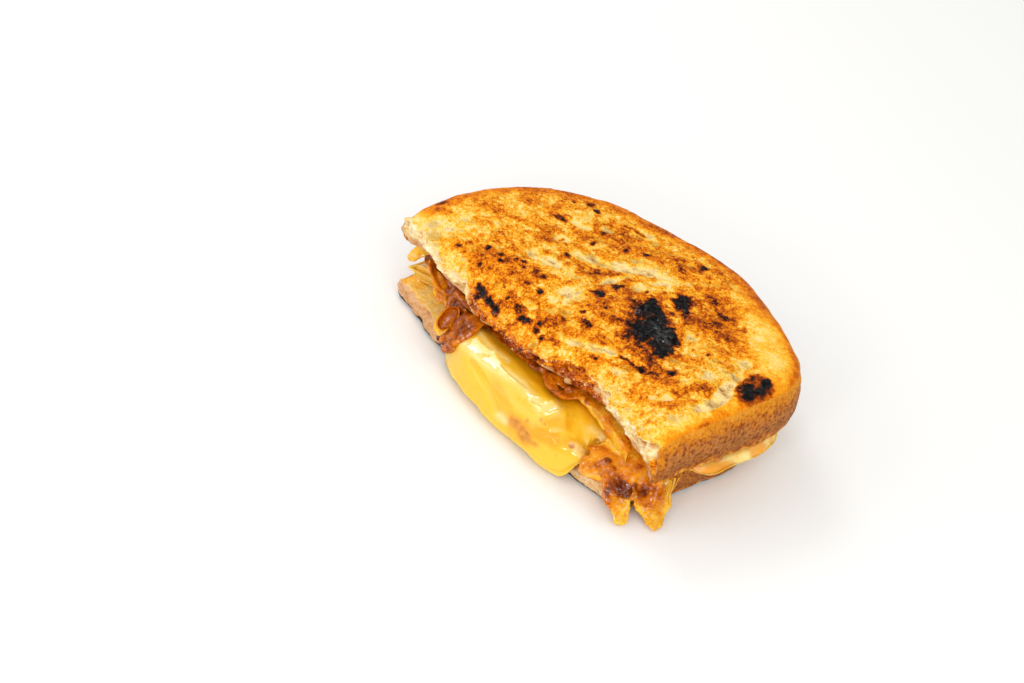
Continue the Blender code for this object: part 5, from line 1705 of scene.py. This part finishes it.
def bread_finish(name):
    """Toast, crust and crumb in one material, told apart by painted masks."""
    made, tree, shader = new_material(name)
    toast, char, faced, skin, down, hollow, wet = (
        painted(tree, label) for label in ("toast", "char", "faced", "skin", "down", "hollow", "wet")
    )
    gloss, foam = painted(tree, "gloss"), painted(tree, "foam")
    finest = use_group(tree, MOTTLE, size=0.45, detail=2.0, sharpness=2.2)
    walls = use_group(tree, CELLS, size=1.7, wall=0.34)
    small_walls = use_group(tree, CELLS, size=0.8, wall=0.38)
    walls = plus(tree, times(tree, walls, 0.55), times(tree, small_walls, 0.45))
    centred = swing(tree, walls, 0.42, foam)
    patchy = use_group(tree, MOTTLE, size=2.6, detail=5.0, sharpness=2.8)
    grains = use_group(tree, MOTTLE, size=0.9, detail=3.0, sharpness=2.6)
    level = plus(tree, toast, times(tree, centred, 0.22))
    for pattern, strength in ((patchy, 0.22), (grains, 0.18), (finest, 0.12)):
        level = plus(tree, level, times(tree, swing(tree, pattern, 0.5, foam), strength))
    toasted = ramp(tree, level, TOAST_COLOURS)
    # Painted shade: the toast is multiplied darker in its holes and pits.
    toasted = blend_colour(tree, hollow, toasted, screen(188, 164, 130), "MULTIPLY")
    specks = use_group(tree, SPECKS, size=1.3, radius=0.25, amount=0.3)
    browned = swing(tree, toast, 0.54, 6.0, clamp=True)
    specks = times(tree, specks, browned)
    toasted = blend_colour(tree, specks, toasted, screen(30, 16, 10))

    cloud = use_group(tree, MOTTLE, size=2.4, detail=4.0, sharpness=2.4)
    # Partly random tone and partly painted light and shade: the crumb is lighter on its cell walls and darker
    # in the cells between them.
    cloud = plus(tree, times(tree, cloud, 0.55), times(tree, walls, 0.6))
    crumb = ramp(tree, cloud, CRUMB_COLOURS)
    # Painted shade: the crumb is multiplied darker in its hollows.
    crumb = blend_colour(tree, hollow, crumb, screen(206, 150, 78), "MULTIPLY")

    blotch = use_group(tree, MOTTLE, size=2.2, detail=4.0, sharpness=2.4)
    lumps = use_group(tree, MOTTLE, size=1.0, detail=3.0, sharpness=3.4)
    edge = plus(tree, down, swing(tree, blotch, 0.5, 0.34))
    crust = ramp(tree, edge, CRUST_COLOURS)
    browned = plus(tree, times(tree, down, 4.0), 0.2, clamp=True)
    skin_walls = use_group(tree, CELLS, size=1.15, wall=0.45)
    shaded = ramp(tree, lumps, ((0.0, (166, 134, 118)), (0.45, (236, 226, 216)), (0.8, (255, 255, 255))))
    crust = blend_colour(tree, browned, crust, shaded, "MULTIPLY")
    dark_walls = times(tree, times(tree, skin_walls, browned), 0.3)
    crust = blend_colour(tree, dark_walls, crust, screen(120, 66, 36))

    colour = blend_colour(tree, skin, crumb, crust)
    ragged = plus(tree, faced, swing(tree, small_walls, 0.5, 0.5))
    ragged = plus(tree, swing(tree, ragged, 0.5, 2.0), 0.5, clamp=True)
    colour = blend_colour(tree, ragged, colour, toasted)
    # This tint darkens the colour: onion juice, and on the lower slice's cut at the dome end also painted
    # shade.
    colour = blend_colour(tree, times(tree, wet, 0.75), colour, screen(206, 126, 40), "MULTIPLY")

    shine = use_group(tree, SPECKS, size=1.6, radius=0.4, amount=0.2)
    beads = use_group(tree, MOTTLE, size=1.0, detail=1.0, sharpness=8.0)
    gleam = times(tree, math_node(tree, "MAXIMUM", wet, gloss), beads)
    gleam = math_node(tree, "MAXIMUM", gleam, times(tree, shine, 0.12))
    dull = plus(tree, times(tree, finest, 0.2), 0.45)
    height = use_group(tree, GRAIN, size=0.5, coarse=0.8)
    height = plus(tree, times(tree, height, 0.4), times(tree, centred, 1.2))
    height = minus(tree, height, times(tree, times(tree, skin_walls, skin), 0.8))
    feed(tree, shader, {
        "Base Color": colour, "Coat Weight": times(tree, gleam, 0.8), "Coat Roughness": 0.12,
        "Coat IOR": 1.8, "Roughness": minus(tree, dull, times(tree, gleam, 0.2)),
        "Specular IOR Level": 0.08, "Normal": bumped(tree, height, 0.9, 0.00028),
    })
    return made


dress(bread_finish("toasted_bread"), upper_slice, lower_slice)

# %% [markdown]
# ## Melted cheese
#
# Light enters cheese and comes out again a few millimetres away, which is what makes it look warm and
# soft, so the shader scatters it below the surface. It shines most where melted butter stands on it,
# and there its colour is lightened too, as a painted sheen.

# %% Cheese finish


def cheese_finish(name):
    """Soft scattering yellow: paler near the table and at the left end, deep amber where oil lies,
    stained by onion juice, with painted shade along the seam and a painted sheen where butter stands.
    """
    made, tree, shader = new_material(name)
    labels = ("stain", "deep", "pale", "ooze", "butter")
    stain, deep, pale, ooze, butter = (painted(tree, label) for label in labels)
    cloud = use_group(tree, MOTTLE, size=8.0, detail=2.0, sharpness=1.6)
    colour = ramp(tree, cloud, ((0.0, (247, 196, 48)), (1.0, (247, 188, 16))))
    # Deep amber where oil lies; along the seam it is also painted shade.
    colour = blend_colour(tree, deep, colour, screen(242, 166, 0))
    colour = blend_colour(tree, pale, colour, screen(248, 208, 96))
    # Painted sheen: the colour is lightened towards pale cream where butter stands.
    colour = blend_colour(tree, times(tree, butter, 0.6), colour, screen(255, 232, 150))
    crusted = use_group(tree, MOTTLE, size=4.5, detail=3.0, sharpness=3.5)
    oozed = ramp(tree, crusted, ((0.0, (252, 228, 146)), (0.6, (246, 210, 116)), (1.0, (232, 172, 74))))
    oozed = blend_colour(tree, deep, oozed, screen(236, 160, 30))
    colour = blend_colour(tree, ooze, colour, oozed)
    streak = use_group(tree, MOTTLE, size=1.6, detail=4.0, sharpness=2.4)
    stained = ramp(tree, streak, ((0.0, (172, 88, 4)), (1.0, (228, 154, 20))))
    # Brown stains of onion juice; along the seam this brown is partly painted shade.
    colour = blend_colour(tree, stain, colour, stained)
    sheen = use_group(tree, MOTTLE, size=2.6, detail=3.0, sharpness=2.0)
    height = use_group(tree, GRAIN, size=1.3, coarse=1.4)
    beads = use_group(tree, MOTTLE, size=1.8, detail=2.0, sharpness=4.0)
    beads = plus(tree, times(tree, beads, 0.6), 0.4)
    glazed = times(tree, times(tree, butter, beads), 0.75)
    shader.subsurface_method = "RANDOM_WALK"
    feed(tree, shader, {
        "Base Color": colour, "Roughness": plus(tree, times(tree, sheen, 0.16), 0.14),
        "Subsurface Weight": 0.35, "Subsurface Radius": (1.0, 0.62, 0.18), "Subsurface Scale": 0.003,
        "Coat Weight": plus(tree, glazed, 0.25, clamp=True), "Coat IOR": 2.3, "Coat Roughness": 0.08,
        "Specular IOR Level": 0.15, "Normal": bumped(tree, height, 0.45, 0.00025),
    })
    return made


dress(cheese_finish("melted_cheese"), cheese, cheese_strings)

# %% [markdown]
# ## Caramelised onion
#
# Fried onion is brown sugar and water in a thin clear wall: amber where light gets through, dark where
# it is folded, and always wet. The tone of each ribbon picks its colour, and fibres show as stripes.

# %% Onion finish
ONION_COLOURS = (
    (0.0, (244, 190, 54)), (0.16, (230, 150, 30)), (0.34, (218, 128, 8)), (0.5, (186, 94, 2)),
    (0.66, (142, 62, 0)), (0.82, (94, 34, 2)), (1.0, (48, 16, 4)),
)


def onion_finish(name):
    """Wet amber to brown, with fibres across each ribbon and soft light inside it."""
    made, tree, shader = new_material(name)
    tone, across = painted(tree, "tone"), painted(tree, "across")
    cloud = use_group(tree, MOTTLE, size=3.2, detail=3.0, sharpness=2.6)
    grains = use_group(tree, MOTTLE, size=0.8, detail=2.0, sharpness=2.6)
    shade = plus(tree, tone, swing(tree, cloud, 0.5, 0.28))
    shade = plus(tree, shade, swing(tree, grains, 0.5, 0.10))
    stripes = math_node(tree, "SINE", times(tree, across, 46.0))
    shade = plus(tree, shade, times(tree, stripes, 0.035))
    sheen = use_group(tree, MOTTLE, size=1.4, detail=2.0, sharpness=2.0)
    height = use_group(tree, GRAIN, size=1.1, coarse=1.2)
    height = plus(tree, height, times(tree, stripes, 0.12))
    wet = use_group(tree, MOTTLE, size=4.0, detail=2.0, sharpness=3.0)
    glaze = use_group(tree, MOTTLE, size=0.9, detail=1.0, sharpness=9.0)
    glaze = minus(tree, plus(tree, glaze, times(tree, wet, 0.7)), 0.75, clamp=True)
    shader.subsurface_method = "RANDOM_WALK"
    feed(tree, shader, {
        "Base Color": ramp(tree, shade, ONION_COLOURS),
        "Roughness": plus(tree, times(tree, sheen, 0.16), 0.10),
        "Subsurface Weight": 0.4, "Subsurface Radius": (1.0, 0.5, 0.1), "Subsurface Scale": 0.0018,
        "Coat Weight": plus(tree, glaze, 0.03), "Coat IOR": 1.9, "Coat Roughness": 0.08,
        "Specular IOR Level": 0.05, "Normal": bumped(tree, height, 0.6, 0.0004),
    })
    return made


dress(onion_finish("caramelised_onion"), onion_strips, onion_cup, onion_core)

# %% [markdown]
# ## Floor and light
#
# The sandwich lies on a plain white sheet. Most of the light is soft and even and comes from the world
# all around it. A large weak lamp hangs above and a lamp like a window stands at the left. Two large
# fills stand at the camera's side, and a small lamp low in front gives the short bright gleams on the
# cheese and the onions.

# %% Stage
LIT_MIDDLE = np.array([0.0, 20.0, 10.0])
mesh = bpy.data.meshes.new("floor")
half = 1.5
mesh.from_pydata([(-half, -half, 0), (half, -half, 0), (half, half, 0), (-half, half, 0)], [], [(0, 1, 2, 3)])
floor = bpy.data.objects.new("floor", mesh)
bpy.context.scene.collection.objects.link(floor)
sheet, tree, shader = new_material("white_sheet")
feed(tree, shader, {"Base Color": screen(249, 249, 247), "Roughness": 0.6, "Specular IOR Level": 0.2})
mesh.materials.append(sheet)


def lamp(name, spot, size, power, colour):
    """A square area lamp, its spot given in mm and its size in metres, turned to face the sandwich."""
    light = bpy.data.lights.new(name, "AREA")
    light.size = size
    light.energy = power
    light.color = colour
    spot = np.array(spot)
    back = spot - LIT_MIDDLE
    back = back / np.linalg.norm(back)
    side = np.cross((0.0, 0.0, 1.0), back)
    side = side / np.linalg.norm(side)
    stand(bpy.data.objects.new(name, light), side, np.cross(back, side), back, spot)


lamp("overhead", (-40.0, 90.0, 760.0), 0.95, 0.2, (1.0, 1.0, 1.0))
lamp("window", (-450.0, 60.0, 470.0), 0.22, 0.8, (1.0, 0.99, 0.98))
lamp("fill_right", (520.0, -300.0, 420.0), 0.6, 2.1, (1.0, 0.99, 0.98))
lamp("fill_left", (-300.0, -520.0, 300.0), 0.45, 0.7, (1.0, 0.99, 0.98))
lamp("glint_front", (250.0, -560.0, 300.0), 0.12, 0.5, (1.0, 1.0, 1.0))
world = bpy.data.worlds.new("studio")
world.use_nodes = True
background = world.node_tree.nodes["Background"]
feed(world.node_tree, background, {"Color": (1.0, 1.0, 0.995, 1.0), "Strength": 0.70})
bpy.context.scene.world = world
bpy.context.scene.view_settings.view_transform = "Standard"

# %% [markdown]
# ## The solids' box
#
# The points of every piece are held inside the solids' box, which is printed here.

# %% The solids' box
print("solids' box:", cad_box)
